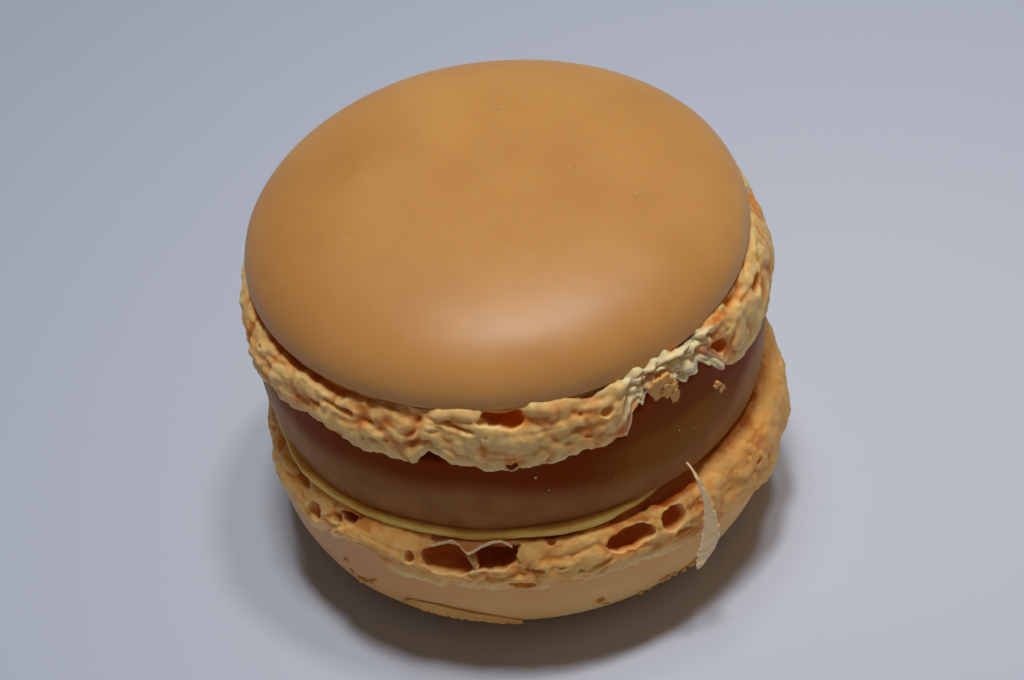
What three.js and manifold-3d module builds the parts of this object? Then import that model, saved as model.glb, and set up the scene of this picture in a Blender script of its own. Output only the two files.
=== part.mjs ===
// A french macaron: two smooth domed almond shells, each with a ruffled foot, round a bulging
// caramel filling. Millimetres, +Z up. The origin is the middle of the flat spot it rests on,
// and -Y is the front, where the upper foot is broken and the lower foot shows its bubbles.
import * as THREE from 'three';
import { mergeVertices } from 'three/addons/utils/BufferGeometryUtils.js';
import Module from 'manifold-3d';

const wasm = await Module();
wasm.setup();

// ---- Driving dimensions -------------------------------------------------------------------

const REST_RADIUS = 6.5;            // flat spot under the lower dome
const LOWER_DOME = { radius: 19.8, height: 7.6, crownRise: 0.15, shiftX: -0.4, shiftY: 0.35 };
const SHOULDER = { size: 5.6, deepest: 6.6, softer: 1.9, softerAt: -45 };   // the turn into its side
const LOWER_FOOT = { radius: 20.55, height: 6.0, shiftX: -0.1, shiftY: -0.3 };
const LIP = { radius: 19.55, thickness: 0.5, shiftX: -0.5, shiftY: 0.4 };
const FILLING = { radius: 19.9, edge: 19.25, height: 6.7, shiftX: -0.7, shiftY: 0.7 };
const UPPER_FOOT = { radius: 20.15, height: 5.1, base: 19.45, shiftX: 0.25, shiftY: -0.15 };
const UPPER_DOME = { radius: 19.15, height: 5.9, squareness: 2.8, bulge: 0.15, bulgeAt: 150 };
const UPPER_SHIFT = { x: -0.8, y: 0.8 };
const DOME_LEAN = THREE.MathUtils.degToRad(1.3);   // the upper dome is this much higher on +X
const RIM_SWING = { size: 1.3, high: -155 };       // the lower rim climbs towards this azimuth
const SKIRT_DROP = { size: 0.9, low: 10 };         // the upper foot hangs lower on this side
const STEPS = 90;                   // faces round every piece

// Ruffles of a foot, round its edge: [size, waves in a turn, phase, twist for each millimetre up].
const UPPER_RUFFLE = [[0.12, 5, 0.4, 0.1], [0.12, 9, 1.7, 0.4], [0.14, 17, 2.9, -0.7],
  [0.12, 28, 0.8, 1.3]];
const LOWER_RUFFLE = [[0.14, 4, 2.1, 0.1], [0.12, 10, 0.6, -0.4], [0.15, 18, 1.2, 0.8],
  [0.12, 29, 2.4, -1.2]];

// Where the upper foot has broken away and the filling stands up behind it: the height of the
// foot's jagged lower edge above the shell's base, at azimuths in degrees.
const BREAK = [[-68, 0], [-66.5, 2.0], [-64, 2.1], [-62, 2.5], [-60, 3.5], [-58, 3.7], [-55, 3.2],
  [-53, 2.9], [-49.5, 1.5], [-47.5, 3.2], [-46, 3.3], [-44, 2.3], [-42, 1.4], [-39.5, 0]];
const BREAK_DEPTH = 1.75;           // how far in from the base's edge it reaches
const BREAK_GAP = 0.5;              // between the broken shell and the filling behind it

// Open bubbles: azimuth in degrees, height above the foot's own lowest line, then half sizes
// along the edge, upwards and inwards.
const LOWER_BUBBLES = [
  [-111.5, 3.7, 1.6, 1.7, 1.7], [-105.5, 4.3, 1.5, 1.2, 1.2], [-100.5, 4.2, 1.8, 1.4, 2.0],
  [-71, 3.6, 1.7, 1.4, 1.6], [-61.5, 3.8, 1.1, 1.5, 1.3], [-119, 3.5, 0.5, 0.6, 0.8],
  [-134, 5.0, 1.2, 1.0, 1.4], [-143, 3.6, 1.0, 1.2, 1.1], [-59, 1.4, 0.7, 0.7, 0.6],
  [-88, 5.6, 0.8, 0.6, 0.7], [-28, 3.2, 0.9, 0.7, 0.7], [24, 3.4, 1.2, 0.9, 1.1],
  [67, 3.9, 1.0, 1.2, 1.0], [108, 3.0, 1.4, 1.0, 1.2], [149, 4.1, 1.0, 1.1, 1.1],
  [178, 2.6, 1.2, 0.9, 0.9],
];
const UPPER_BUBBLES = [
  [-94, 4.7, 1.5, 0.7, 1.3], [-74, 4.9, 0.9, 0.4, 0.8], [-129.5, 3.7, 0.9, 0.4, 0.6],
  [-91.5, 0.5, 0.6, 0.5, 0.6], [-113, 2.8, 0.8, 0.7, 0.4], [-23, 3.4, 0.5, 0.6, 0.6],
  [-39.5, 2.6, 0.7, 0.8, 0.9], [-148, 4.6, 1.3, 0.4, 0.9], [38, 2.6, 1.1, 0.9, 0.9],
  [92, 3.2, 0.9, 0.8, 0.8], [131, 2.2, 1.2, 0.8, 0.9], [169, 3.1, 0.9, 0.9, 0.8],
];

// A flake that hangs from the filling's edge over the lower foot, and a strip of skin that has
// peeled from the lower dome: [azimuth, radius, height, width] down or along each of them.
const FLAKE = [[-57.5, 19.3, 12.9, 0.5], [-56, 20.7, 12.3, 0.8], [-55, 21.1, 10.8, 1.3],
  [-54.8, 21.0, 9.0, 1.4], [-55.5, 20.8, 7.2, 1.1], [-56.5, 20.6, 5.7, 0.4]];
const PEEL = [[-121, 19.7, 5.9, 0.5], [-115, 19.8, 5.4, 1.3], [-108, 19.75, 4.9, 1.7],
  [-101, 19.7, 4.6, 1.7], [-95, 19.6, 4.3, 0.6]];
const FLAKE_THICKNESS = 0.4;
const PEEL_THICKNESS = 0.7;

// ---- Helpers ------------------------------------------------------------------------------

const rad = THREE.MathUtils.degToRad;

function ruffle(waves, theta, z) {
  return waves.reduce((sum, [size, count, phase, twist]) => (
    sum + size * Math.sin(count * theta + phase + twist * z)), 0);
}

// The height of the broken edge at an azimuth in radians, 0 where the foot is whole.
function broken(theta) {
  const azimuth = THREE.MathUtils.radToDeg(theta);
  const next = BREAK.findIndex(([at]) => at >= azimuth);
  if (next < 1) return 0;
  const [[from, low], [to, high]] = [BREAK[next - 1], BREAK[next]];
  return THREE.MathUtils.mapLinear(azimuth, from, to, low, high);
}

// How much farther out a ring lies at an azimuth when its centre is moved by shiftX, shiftY.
function aside({ shiftX, shiftY }, theta) {
  return shiftX * Math.cos(theta) + shiftY * Math.sin(theta);
}

// A closed geometry as a solid: corners shared, and no slivers left where a profile meets the axis.
function solid(geometry) {
  geometry.deleteAttribute('normal');
  geometry.deleteAttribute('uv');
  const merged = mergeVertices(geometry, 1e-4);
  const index = merged.index.array;
  const triVerts = [];
  for (let i = 0; i < index.length; i += 3) {
    const [a, b, c] = [index[i], index[i + 1], index[i + 2]];
    if (a !== b && b !== c && c !== a) triVerts.push(a, b, c);
  }
  return new wasm.Manifold(new wasm.Mesh({
    numProp: 3,
    vertProperties: new Float32Array(merged.attributes.position.array),
    triVerts: new Uint32Array(triVerts),
  }));
}

function meshOf(name, shape, material) {
  const { vertProperties, triVerts } = shape.getMesh();
  const geometry = new THREE.BufferGeometry();
  geometry.setAttribute('position', new THREE.BufferAttribute(new Float32Array(vertProperties), 3));
  geometry.setIndex(new THREE.BufferAttribute(new Uint32Array(triVerts), 1));
  geometry.computeVertexNormals();
  const mesh = new THREE.Mesh(geometry, material);
  mesh.name = name;
  return mesh;
}

// A profile turned round +Z. Each row is { r, z } and any weights, and shape(theta, row) gives
// the row's true [radius, height] at that azimuth.
function turned(rows, shape) {
  const profile = rows.map(({ r, z }) => new THREE.Vector2(r, z));
  const geometry = new THREE.LatheGeometry(profile, STEPS);
  geometry.rotateX(Math.PI / 2);
  const position = geometry.attributes.position;
  for (let i = 0; i < position.count; i += 1) {
    const row = rows[i % rows.length];
    const theta = Math.atan2(position.getY(i), position.getX(i));
    const [r, z] = row.r > 0 ? shape(theta, row) : [0, row.z];
    position.setXYZ(i, r * Math.cos(theta), r * Math.sin(theta), z);
  }
  return solid(geometry);
}

// An uneven blob for an open bubble or a bite, centred on the foot's outer face.
function blob([azimuth, up, wide, tall, deep], radius, base) {
  const geometry = new THREE.IcosahedronGeometry(1, 1);
  const position = geometry.attributes.position;
  const point = new THREE.Vector3();
  for (let i = 0; i < position.count; i += 1) {
    point.fromBufferAttribute(position, i);
    const swell = 1 + 0.12 * Math.sin(3 * point.x + azimuth) * Math.cos(4 * point.z + up);
    point.multiplyScalar(swell);
    position.setXYZ(i, point.x * deep, point.y * wide, point.z * tall);
  }
  geometry.translate(radius, 0, base + up);
  geometry.rotateZ(rad(azimuth));
  return solid(geometry);
}

// A thin strip bent along a path, lying against the body: its width runs across the path and
// its thickness points away from the axis.
function strip(route, thickness) {
  const lengthSteps = 12;
  const widthSteps = 2;
  const path = new THREE.CatmullRomCurve3(route.map(([azimuth, r, z]) => (
    new THREE.Vector3(r * Math.cos(rad(azimuth)), r * Math.sin(rad(azimuth)), z))));
  const width = new THREE.CatmullRomCurve3(route.map(([, , , w]) => new THREE.Vector3(w, 0, 0)));
  const geometry = new THREE.BoxGeometry(1, 1, 1, widthSteps, lengthSteps, 1);
  const position = geometry.attributes.position;
  for (let i = 0; i < position.count; i += 1) {
    const along = THREE.MathUtils.clamp(0.5 - position.getY(i), 0, 1);
    const centre = path.getPoint(along);
    const out = new THREE.Vector3(centre.x, centre.y, 0).normalize();
    const across = path.getTangent(along).cross(out).normalize();
    centre.addScaledVector(across, -position.getX(i) * width.getPoint(along).x);
    centre.addScaledVector(out, position.getZ(i) * thickness);
    position.setXYZ(i, centre.x, centre.y, centre.z);
  }
  return solid(geometry);
}

// ---- Lower shell --------------------------------------------------------------------------

function lowerShellRows() {
  const { radius, height, crownRise } = LOWER_DOME;
  const rows = [{ r: 0, z: 0 }, { r: REST_RADIUS, z: 0 }];
  rows.push({ r: (REST_RADIUS + radius - SHOULDER.size) / 2, z: crownRise / 4 });
  const arcSteps = 6;
  for (let i = 0; i <= arcSteps; i += 1) {
    const turn = i / arcSteps;
    rows.push({ r: radius, z: crownRise, turn, swing: 0.6 * turn ** 3, dome: turn ** 2 });
  }
  const rim = height;
  const top = height + LOWER_FOOT.height;
  const wide = LOWER_FOOT.radius;
  rows.push({ r: radius, z: rim - 0.5, swing: 1, dome: 1 });
  rows.push({ r: radius - 0.1, z: rim - 0.1, swing: 1, dome: 0.8 });
  rows.push({ r: wide - 0.6, z: rim, swing: 1, rough: 0.7 });
  rows.push({ r: wide - 0.2, z: rim + 0.8, swing: 0.8, rough: 1 });
  rows.push({ r: wide, z: rim + 1.8, swing: 0.6, rough: 1 });
  rows.push({ r: wide + 0.05, z: rim + 2.8, swing: 0.4, rough: 1 });
  rows.push({ r: wide, z: rim + 3.8, swing: 0.2, rough: 1 });
  rows.push({ r: wide - 0.25, z: rim + 4.6, rough: 1 });
  rows.push({ r: wide - 0.75, z: rim + 5.15, rough: 0.7 });
  rows.push({ r: LIP.radius - 0.1, z: top - LIP.thickness - 0.35, lip: 1, rough: 0.3 });
  rows.push({ r: LIP.radius - 0.3, z: top - LIP.thickness, lip: 1 });
  rows.push({ r: LIP.radius, z: top - LIP.thickness + 0.1, lip: 1 });
  rows.push({ r: LIP.radius, z: top - 0.1, lip: 1 });
  rows.push({ r: LIP.radius - 0.3, z: top, lip: 1 });
  rows.push({ r: LIP.radius / 2, z: top });
  rows.push({ r: 0, z: top });
  return rows;
}

// The quarter turn from the crown into the dome's side: how far it moves a row in and up.
function shoulder(theta, turn) {
  const width = SHOULDER.size + SHOULDER.softer * Math.max(0, Math.cos(theta - rad(SHOULDER.softerAt)));
  const depth = Math.min(width, SHOULDER.deepest);
  const angle = turn * (Math.PI / 2);
  return [width * (Math.sin(angle) - 1), depth * (1 - Math.cos(angle))];
}

function lowerShell() {
  const body = turned(lowerShellRows(), (theta, row) => {
    const { r, z, rough = 0, swing = 0, lip = 0, dome = 0, turn } = row;
    const [inward, up] = turn === undefined ? [0, 0] : shoulder(theta, turn);
    const lift = swing * RIM_SWING.size * Math.cos(theta - rad(RIM_SWING.high));
    const ruffled = rough * (aside(LOWER_FOOT, theta) + ruffle(LOWER_RUFFLE, theta, z));
    const out = inward + lip * aside(LIP, theta) + dome * aside(LOWER_DOME, theta) + ruffled;
    return [r + out, z + up + lift];
  });
  const cuts = LOWER_BUBBLES.map((bubble) => blob(bubble, LOWER_FOOT.radius, LOWER_DOME.height));
  return cuts.reduce((shape, cut) => shape.subtract(cut), body)
    .add(strip(FLAKE, FLAKE_THICKNESS))
    .add(strip(PEEL, PEEL_THICKNESS));
}

// ---- Filling ------------------------------------------------------------------------------

function fillingRows() {
  const { radius, edge, height } = FILLING;
  const rows = [{ r: 0, z: 0 }, { r: edge / 2, z: 0 }];
  const sideSteps = 7;
  for (let i = 0; i <= sideSteps; i += 1) {
    const up = i / sideSteps;
    rows.push({ r: edge + (radius - edge) * (1 - (2 * up - 1) ** 4), z: up * height, soft: 1 });
  }
  const inner = edge - BREAK_DEPTH + BREAK_GAP;
  rows[rows.length - 1].rise = 1;
  rows.push({ r: inner, z: height, rise: 1 });
  rows.push({ r: inner - 0.1, z: height }, { r: edge / 2, z: height }, { r: 0, z: height });
  return rows;
}

function filling() {
  return turned(fillingRows(), (theta, { r, z, soft = 0, rise = 0 }) => {
    const wave = soft * 0.05 * Math.sin(3 * theta + 0.5) * Math.sin(2 * theta + 0.3 * z);
    return [r + wave, z + rise * Math.max(0, broken(theta) - BREAK_GAP)];
  });
}

// ---- Upper shell --------------------------------------------------------------------------

function upperShellRows() {
  const { radius: wide, height: rim, base } = UPPER_FOOT;
  const rows = [{ r: 0, z: 0 }, { r: base / 2, z: 0 }, { r: base - BREAK_DEPTH - 0.3, z: 0 }];
  rows.push({ r: base - BREAK_DEPTH, z: 0, foot: 1 }, { r: base, z: 0, foot: 1 });
  rows.push({ r: wide - 0.3, z: 0.05, skirt: 1, rough: 0.4 });
  rows.push({ r: wide - 0.15, z: 0.9, skirt: 0.8, rough: 0.9 });
  rows.push({ r: wide, z: 1.9, skirt: 0.5, rough: 1 });
  rows.push({ r: wide, z: 2.9, skirt: 0.2, lean: 0.3, rough: 1 });
  rows.push({ r: wide - 0.25, z: 3.8, lean: 0.6, rough: 1 });
  rows.push({ r: wide - 0.7, z: 4.4, lean: 0.8, rough: 0.8 });
  rows.push({ r: UPPER_DOME.radius - 0.35, z: rim - 0.4, lean: 1, rough: 0.2 });
  rows.push({ r: UPPER_DOME.radius - 0.3, z: rim - 0.15, lean: 1 });
  const domeSteps = 9;
  for (let i = domeSteps; i > 0; i -= 1) {
    const angle = (i / domeSteps) * (Math.PI / 2);
    const r = UPPER_DOME.radius * Math.sin(angle) ** (2 / UPPER_DOME.squareness);
    const z = rim + UPPER_DOME.height * Math.cos(angle);
    rows.push({ r, z, lean: 1, dome: Math.sin(angle) });
  }
  rows.push({ r: 0, z: rim + UPPER_DOME.height, lean: 1 });
  return rows;
}

function upperShell() {
  const whole = UPPER_FOOT.height - 0.4;
  const body = turned(upperShellRows(), (theta, row) => {
    const { r, z, rough = 0, foot = rough, lean = 0, skirt = 0, dome = 0 } = row;
    const lift = lean * r * Math.cos(theta) * Math.tan(DOME_LEAN);
    const drop = skirt * SKIRT_DROP.size * Math.max(0, Math.cos(theta - rad(SKIRT_DROP.low)));
    const lost = foot > 0 ? broken(theta) * Math.max(0, 1 - z / whole) : 0;
    const bulge = dome * UPPER_DOME.bulge * Math.max(0, Math.cos(theta - rad(UPPER_DOME.bulgeAt))) ** 2;
    const out = rough * (aside(UPPER_FOOT, theta) + ruffle(UPPER_RUFFLE, theta, z)) + bulge;
    return [r + out, z + lift - drop + lost];
  });
  const cuts = UPPER_BUBBLES.map((bubble) => blob(bubble, UPPER_FOOT.radius, 0));
  return cuts.reduce((shape, cut) => shape.subtract(cut), body);
}

// ---- The macaron --------------------------------------------------------------------------

const finish = (color, roughness) => new THREE.MeshStandardMaterial({ color, roughness, metalness: 0 });
const SHELL_COLOUR = '#c69058';
const FILLING_COLOUR = '#5a3a1c';

const fillingBase = LOWER_DOME.height + LOWER_FOOT.height;
const lower = meshOf('bottom_shell', lowerShell(), finish(SHELL_COLOUR, 0.5));
const middle = meshOf('filling', filling(), finish(FILLING_COLOUR, 0.35));
middle.position.set(FILLING.shiftX, FILLING.shiftY, fillingBase);
const upper = meshOf('top_shell', upperShell(), finish(SHELL_COLOUR, 0.5));
upper.position.set(UPPER_SHIFT.x, UPPER_SHIFT.y, fillingBase + FILLING.height);

const macaron = new THREE.Group();
macaron.add(lower, middle, upper);
export default macaron;
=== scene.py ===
# %% [markdown]
# # A french macaron
# Two baked almond shells and a caramel filling. Each shell has a smooth domed skin and, at its
# edge, a "foot": the rough ruffle where the batter bubbled up in the oven. The solids of the
# part give the sizes. Here each one is dressed in finer pieces: skins, feet with open bubbles,
# the filling, a thin lip, loose flakes and crumbs.

# %% Load the frame
import math
import random
from types import SimpleNamespace

import bmesh
import bpy
import numpy as np
from mathutils import Matrix, Vector


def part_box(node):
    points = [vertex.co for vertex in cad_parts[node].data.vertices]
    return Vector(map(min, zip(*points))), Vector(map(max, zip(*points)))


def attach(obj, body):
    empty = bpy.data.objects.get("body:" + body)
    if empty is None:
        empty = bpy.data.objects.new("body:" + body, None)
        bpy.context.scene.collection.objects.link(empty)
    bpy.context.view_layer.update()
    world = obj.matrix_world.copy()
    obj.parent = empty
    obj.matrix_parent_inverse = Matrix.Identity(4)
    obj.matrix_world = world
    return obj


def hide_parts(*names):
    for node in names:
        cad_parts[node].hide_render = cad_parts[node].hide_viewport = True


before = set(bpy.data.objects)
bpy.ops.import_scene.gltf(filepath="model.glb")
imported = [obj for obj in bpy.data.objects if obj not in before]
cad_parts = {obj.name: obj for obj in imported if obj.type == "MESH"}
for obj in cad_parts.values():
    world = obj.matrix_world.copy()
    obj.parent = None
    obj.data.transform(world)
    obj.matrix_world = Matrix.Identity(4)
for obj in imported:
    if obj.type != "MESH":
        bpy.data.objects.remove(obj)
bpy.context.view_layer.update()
print("nodes:", sorted(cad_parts))

# %% [markdown]
# ## The sizes
# All sizes are in millimetres and follow the solids: the lower shell stands on z = 0, and the
# height at which the filling starts is read from the frame. Each ring may have its own centre,
# because the two halves were pressed together by hand and don't line up.

# %% Sizes of the pieces
MM = 0.001
FILLING_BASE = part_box("filling")[0].z / MM
UPPER_BASE = 20.3
LOWER_RIM = 7.6                       # where the lower skin ends and its foot begins
UPPER_SHIFT = (-0.8, 0.8)
FILLING_SHIFT = (-0.7, 0.7)
LIP_SHIFT = (-0.5, 0.4)
LOWER_DOME_SHIFT = (-0.4, 0.35)
LOWER_FOOT_SHIFT = (-0.1, -0.3)
UPPER_FOOT_SHIFT = (0.25, -0.15)
DOME_LEAN = math.tan(math.radians(1.3))
print("filling from z =", round(FILLING_BASE, 2), "to", UPPER_BASE)

# %% [markdown]
# ## Wrapping a profile
# Everything round on a macaron is one outline turned about the upright axis. Blender's Spin tool
# or Screw modifier could turn it. Here a flat sheet of squares is wrapped round the axis, like a
# label round a jar, because then each corner's azimuth and its way along the outline stay known
# and relief can be laid on them. A few key rows, each with a radius, a height and some weights,
# are drawn out into a smooth, finely stepped outline.

# %% Profiles and wrapping
def smooth_rows(keys, gap):
    """Rows about gap mm apart on a smooth curve (Catmull-Rom) through the key rows."""
    keys = np.array(keys, float)
    around = np.vstack([2 * keys[:1] - keys[1:2], keys, 2 * keys[-1:] - keys[-2:-1]])
    rows = []
    for a, b, c, d in zip(around, around[1:], around[2:], around[3:]):
        count = max(1, round(math.hypot(c[0] - b[0], c[1] - b[1]) / gap))
        for t in np.arange(count) / count:
            rows.append(0.5 * (2 * b + (c - a) * t + (2 * a - 5 * b + 4 * c - d) * t ** 2
                               + (3 * b - a - 3 * c + d) * t ** 3))
    return np.array(rows + [keys[-1]])


def add_piece(name, bm):
    """A mesh object at the origin, smooth, made of what bm holds."""
    bmesh.ops.recalc_face_normals(bm, faces=bm.faces)
    for face in bm.faces:
        face.smooth = True
    mesh = bpy.data.meshes.new(name)
    bm.to_mesh(mesh)
    bm.free()
    piece = bpy.data.objects.new(name, mesh)
    bpy.context.scene.collection.objects.link(piece)
    return piece


def wrap(name, rows, steps):
    """A sheet of squares wrapped round +Z. Row n of the sheet follows row n of the profile."""
    bm = bmesh.new()
    last = len(rows) - 1
    bmesh.ops.create_grid(bm, x_segments=steps, y_segments=last, size=1)
    for corner in bm.verts:
        number = round((corner.co.y + 1) / 2 * last)
        azimuth = (corner.co.x + 1) * math.pi
        radius, height = rows[number][0], rows[number][1]
        corner.co = (radius * math.cos(azimuth) * MM, radius * math.sin(azimuth) * MM, height * MM)
    bmesh.ops.remove_doubles(bm, verts=bm.verts, dist=1e-7)
    return add_piece(name, bm)

# %% [markdown]
# ## Moving corners
# No baked surface is a perfect turned shape. Displace modifiers with textures could push it
# about, but what they did would be unknown to the material. Here each corner's place is read
# into an array and moved by plain sums, and the same numbers can be painted on the mesh for the
# material to read.

# %% Measuring and moving a wrapped sheet
HEM_RING = 20.0                       # noise along a hem is read on a ring of this radius


def measure(piece, rows, start):
    """Where every corner lies: azimuth, radius, z and the way along the profile in mm, counted
    from row number start, with the profile's direction and its outward side there."""
    flat = np.zeros(3 * len(piece.data.vertices), np.float32)
    piece.data.vertices.foreach_get("co", flat)
    places = flat.reshape(-1, 3).astype(float) / MM
    radius = np.hypot(places[:, 0], places[:, 1])[:, None]
    number = np.hypot(radius - rows[:, 0], places[:, 2:] - rows[:, 1]).argmin(axis=1)
    step = np.gradient(rows[:, :2], axis=0)
    step /= np.linalg.norm(step, axis=1, keepdims=True) + 1e-9
    way = np.concatenate([[0], np.cumsum(np.hypot(*np.diff(rows[:, :2], axis=0).T))])
    theta = np.arctan2(places[:, 1], places[:, 0])
    return SimpleNamespace(theta=theta, places=places, ring=from_polar(theta, HEM_RING, 0 * theta),
                           radius=rows[number, 0], z=rows[number, 1], keys=rows[number],
                           way=(way - way[start])[number], along=step[number],
                           out=np.stack([step[:, 1], -step[:, 0]], 1)[number])


def put(piece, points):
    """Moves every corner of a mesh to the given places, in mm."""
    piece.data.vertices.foreach_set("co", (points * MM).astype(np.float32).ravel())
    piece.data.update()


def paint(piece, name, values):
    """Keeps one number for each corner as an attribute that a material can read."""
    layer = piece.data.attributes.new(name, "FLOAT", "POINT")
    layer.data.foreach_set("value", np.clip(values, 0, 1).astype(np.float32))


def from_polar(theta, radius, z):
    """Places x, y, z for azimuths in radians, radii and heights."""
    return np.stack([radius * np.cos(theta), radius * np.sin(theta), z], 1)


def pushed(m, radius, z, push, slide):
    """Places after a push along the profile's outward side and a slide round and along it."""
    radius = radius + push * m.out[:, 0] + slide[:, 1] * m.along[:, 0]
    z = z + push * m.out[:, 1] + slide[:, 1] * m.along[:, 1]
    return from_polar(m.theta + slide[:, 0] / m.radius, radius, z)


def aside(shift, theta):
    """How much farther out a ring lies at an azimuth when its centre is moved by shift."""
    return shift[0] * np.cos(theta) + shift[1] * np.sin(theta)


def table_at(table, theta):
    """A value for each azimuth from a table of (degrees, value), joined by straight lines."""
    azimuth, value = np.array(table).T
    return np.interp(np.degrees(theta), azimuth, value, period=360)

# %% [markdown]
# ## Natural roughness
# Baked batter is never even: it has soft folds, puffy lumps and grain. Sculpting could make
# them by hand. Noise is chosen because it repeats exactly at every run and reaches all round:
# "wave" is soft Perlin noise for folds and grain, and "pebbles" makes rounded lumps that meet in
# creases, as puffs of crumb do.

# %% Noise
LATTICE = np.random.default_rng(7)
ORDER = np.tile(LATTICE.permutation(256), 4)
SLOPES = LATTICE.normal(size=(256, 3))


def cell_number(x, y, z):
    """A fixed random number from 0 to 255 for each whole-number cell."""
    return ORDER[ORDER[ORDER[x & 255] + (y & 255)] + (z & 255)]


def wave(points, size, stretch=(1, 1, 1), seed=0.0):
    """Soft noise, mostly from -1 to 1, at each point, with features about size mm across."""
    p = points * np.array(stretch) / size + 17.3 * seed + 100
    cell = np.floor(p).astype(int)
    part = p - cell
    fade = part ** 3 * (part * (6 * part - 15) + 10)
    total = np.zeros(len(p))
    for corner in np.ndindex(2, 2, 2):
        here = cell + corner
        slope = SLOPES[cell_number(*here.T)]
        weight = np.prod(np.where(corner, fade, 1 - fade), axis=1)
        total += weight * np.einsum("ij,ij->i", slope, part - corner)
    return total


def waves(points, *layers):
    """Soft noise in several sizes at once, from layers of (weight, size, seed)."""
    return sum(weight * wave(points, size, seed=seed) for weight, size, seed in layers)


def pebbles(points, size, seed=0.0):
    """Rounded lumps about size mm across that meet in soft creases, mostly from -1 to 1."""
    p = points / size + 31.7 * seed + 100
    cell = np.floor(p).astype(int)
    near = np.zeros(len(p))
    for step in np.ndindex(3, 3, 3):
        here = cell + step - 1
        middle = here + 0.5 + 0.22 * np.clip(SLOPES[cell_number(*here.T)], -1.8, 1.8)
        near += np.exp(-9 * ((p - middle) ** 2).sum(axis=1))
    return 6 * np.log(near + 1e-6) / 9 + 1


def smoothstep(low, high, x):
    """0 below low, 1 above high, and a soft rise between. It falls if low is above high."""
    t = np.clip((x - low) / (high - low), 0, 1)
    return t * t * (3 - 2 * t)


def between(x, start, full, end, gone):
    """Rises from 0 at start to 1 at full, and falls from 1 at end to 0 at gone."""
    return smoothstep(start, full, x) * smoothstep(gone, end, x)


def turn_gap(theta, azimuth):
    """The angle from an azimuth in degrees to theta, in radians, the short way round."""
    return (theta - math.radians(azimuth) + math.pi) % (2 * math.pi) - math.pi

# %% [markdown]
# ## Bubbles and dents
# Bubbles that burst in the oven leave round pits with crisp, slightly overhanging rims. Cutting
# balls out with a Boolean would leave rims as sharp as a machine's and a mesh that is hard to
# work on. Pushing the corners on to the wall of a ball keeps it whole. Dents are hollows with
# soft sides.

# %% Bubbles and dents
def bubbles(m, spots, mouth=108, seed=0.0):
    """Open bubbles at spots of (azimuth, way, half width, half height, depth). mouth is where a
    bubble's wall ends, in degrees from its bottom: over 90 it overhangs. Gives how deep each
    corner sinks and how far it slides sideways and along to line the wall."""
    rim = math.cos(math.radians(mouth))
    noise = 0.16 * waves(m.places, (1, 1.0, seed + 1.7), (0.5, 0.45, seed))
    deepest = np.zeros(len(m.theta))
    slide = np.zeros((len(m.theta), 2))
    weight = np.full(len(m.theta), 1e-9)
    for azimuth, way, wide, tall, deep in spots:
        a = turn_gap(m.theta, azimuth) * m.radius / wide
        b = (m.way - way) / tall
        q = np.maximum(np.hypot(a, b) * (1 + noise), 1e-6)
        angle = np.radians(mouth) * q
        sink = np.where(q < 1, deep * (np.cos(angle) - rim) / (1 - rim), 0)
        spread = np.where(q < 1, np.sin(angle) / math.sin(math.radians(mouth)) / q - 1, 0)
        share = sink ** 4
        slide += share[:, None] * np.stack([a * wide, b * tall], 1) * spread[:, None]
        weight += share
        deepest = np.maximum(deepest, sink)
    return deepest, slide / weight[:, None]


def dents(m, spots):
    """Soft hollows at spots of (azimuth, way, half width, half height, depth)."""
    total = np.zeros(len(m.theta))
    for azimuth, way, wide, tall, deep in spots:
        a = turn_gap(m.theta, azimuth) * m.radius / wide
        b = (m.way - way) / tall
        total += deep * np.exp(-2 * (a * a + b * b))
    return total


def scattered(count, azimuths, ways, sizes, depth, seed):
    """A seeded draw of small bubbles between two azimuths and two ways up the profile."""
    draw = random.Random(seed)
    spots = []
    for _ in range(count):
        wide = sizes[0] + (sizes[1] - sizes[0]) * draw.random() ** 2
        spots.append((draw.uniform(*azimuths), draw.uniform(*ways), wide,
                      wide * draw.uniform(0.6, 1.1), wide * depth))
    return spots

# %% [markdown]
# ## Ragged hems
# The lower edge of each foot, its hem, is ragged, and on the upper foot a stretch at the front
# right has broken away. It could be cut with a Boolean. A table of azimuths in degrees and heights
# in mm above the foot's plain edge is simpler, because the rows above just squeeze up, and other
# pieces can use it: the filling stands up behind the gap.

# %% The hems
UPPER_HEM = [
    (-170, -0.1), (-160, -0.35), (-150, -0.3), (-146, -0.15), (-140, 0.05), (-132, -0.25),
    (-127.5, -0.45), (-124, -0.3), (-120, -0.2), (-117, -0.4), (-114.5, -0.5), (-112.8, -0.3),
    (-111.6, 0.5), (-109.6, 1.15), (-107.4, 1.0), (-106.2, 0.6), (-104.8, 0.0), (-101.5, -0.2),
    (-99, -0.5), (-96.5, -0.55), (-94.6, -0.4), (-92.6, -0.75), (-90.8, -0.5), (-87.5, -0.4),
    (-83.5, -0.2), (-79, 0), (-77.4, 0.35), (-76, 0.3), (-74.5, 0.05), (-71.5, 0.05),
    (-69.2, 0.25), (-67.7, 0.35), (-67.3, 1.2), (-66.7, 1.6), (-66.3, 2.6), (-65, 2.55),
    (-64.1, 2.95), (-63.5, 2.6), (-62.8, 2.85), (-61.8, 3.15), (-61.0, 3.25), (-59.8, 3.7),
    (-59, 3.9), (-56, 3.55), (-54.5, 3.3), (-53.7, 3.6), (-53.1, 2.95), (-51.2, 2.65),
    (-50, 2.75), (-48.7, 2.9), (-48.2, 3.55), (-46.2, 3.65), (-45.6, 3.15), (-45, 2.7),
    (-42.8, 2.05), (-41.8, 1.45), (-39.8, 0.85), (-37, 0.6), (-35, 0.4), (-31, 0.15), (-26, -0.1),
    (-10, 0), (30, -0.1), (80, 0.1), (120, -0.1), (160, 0.1),
]
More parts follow.
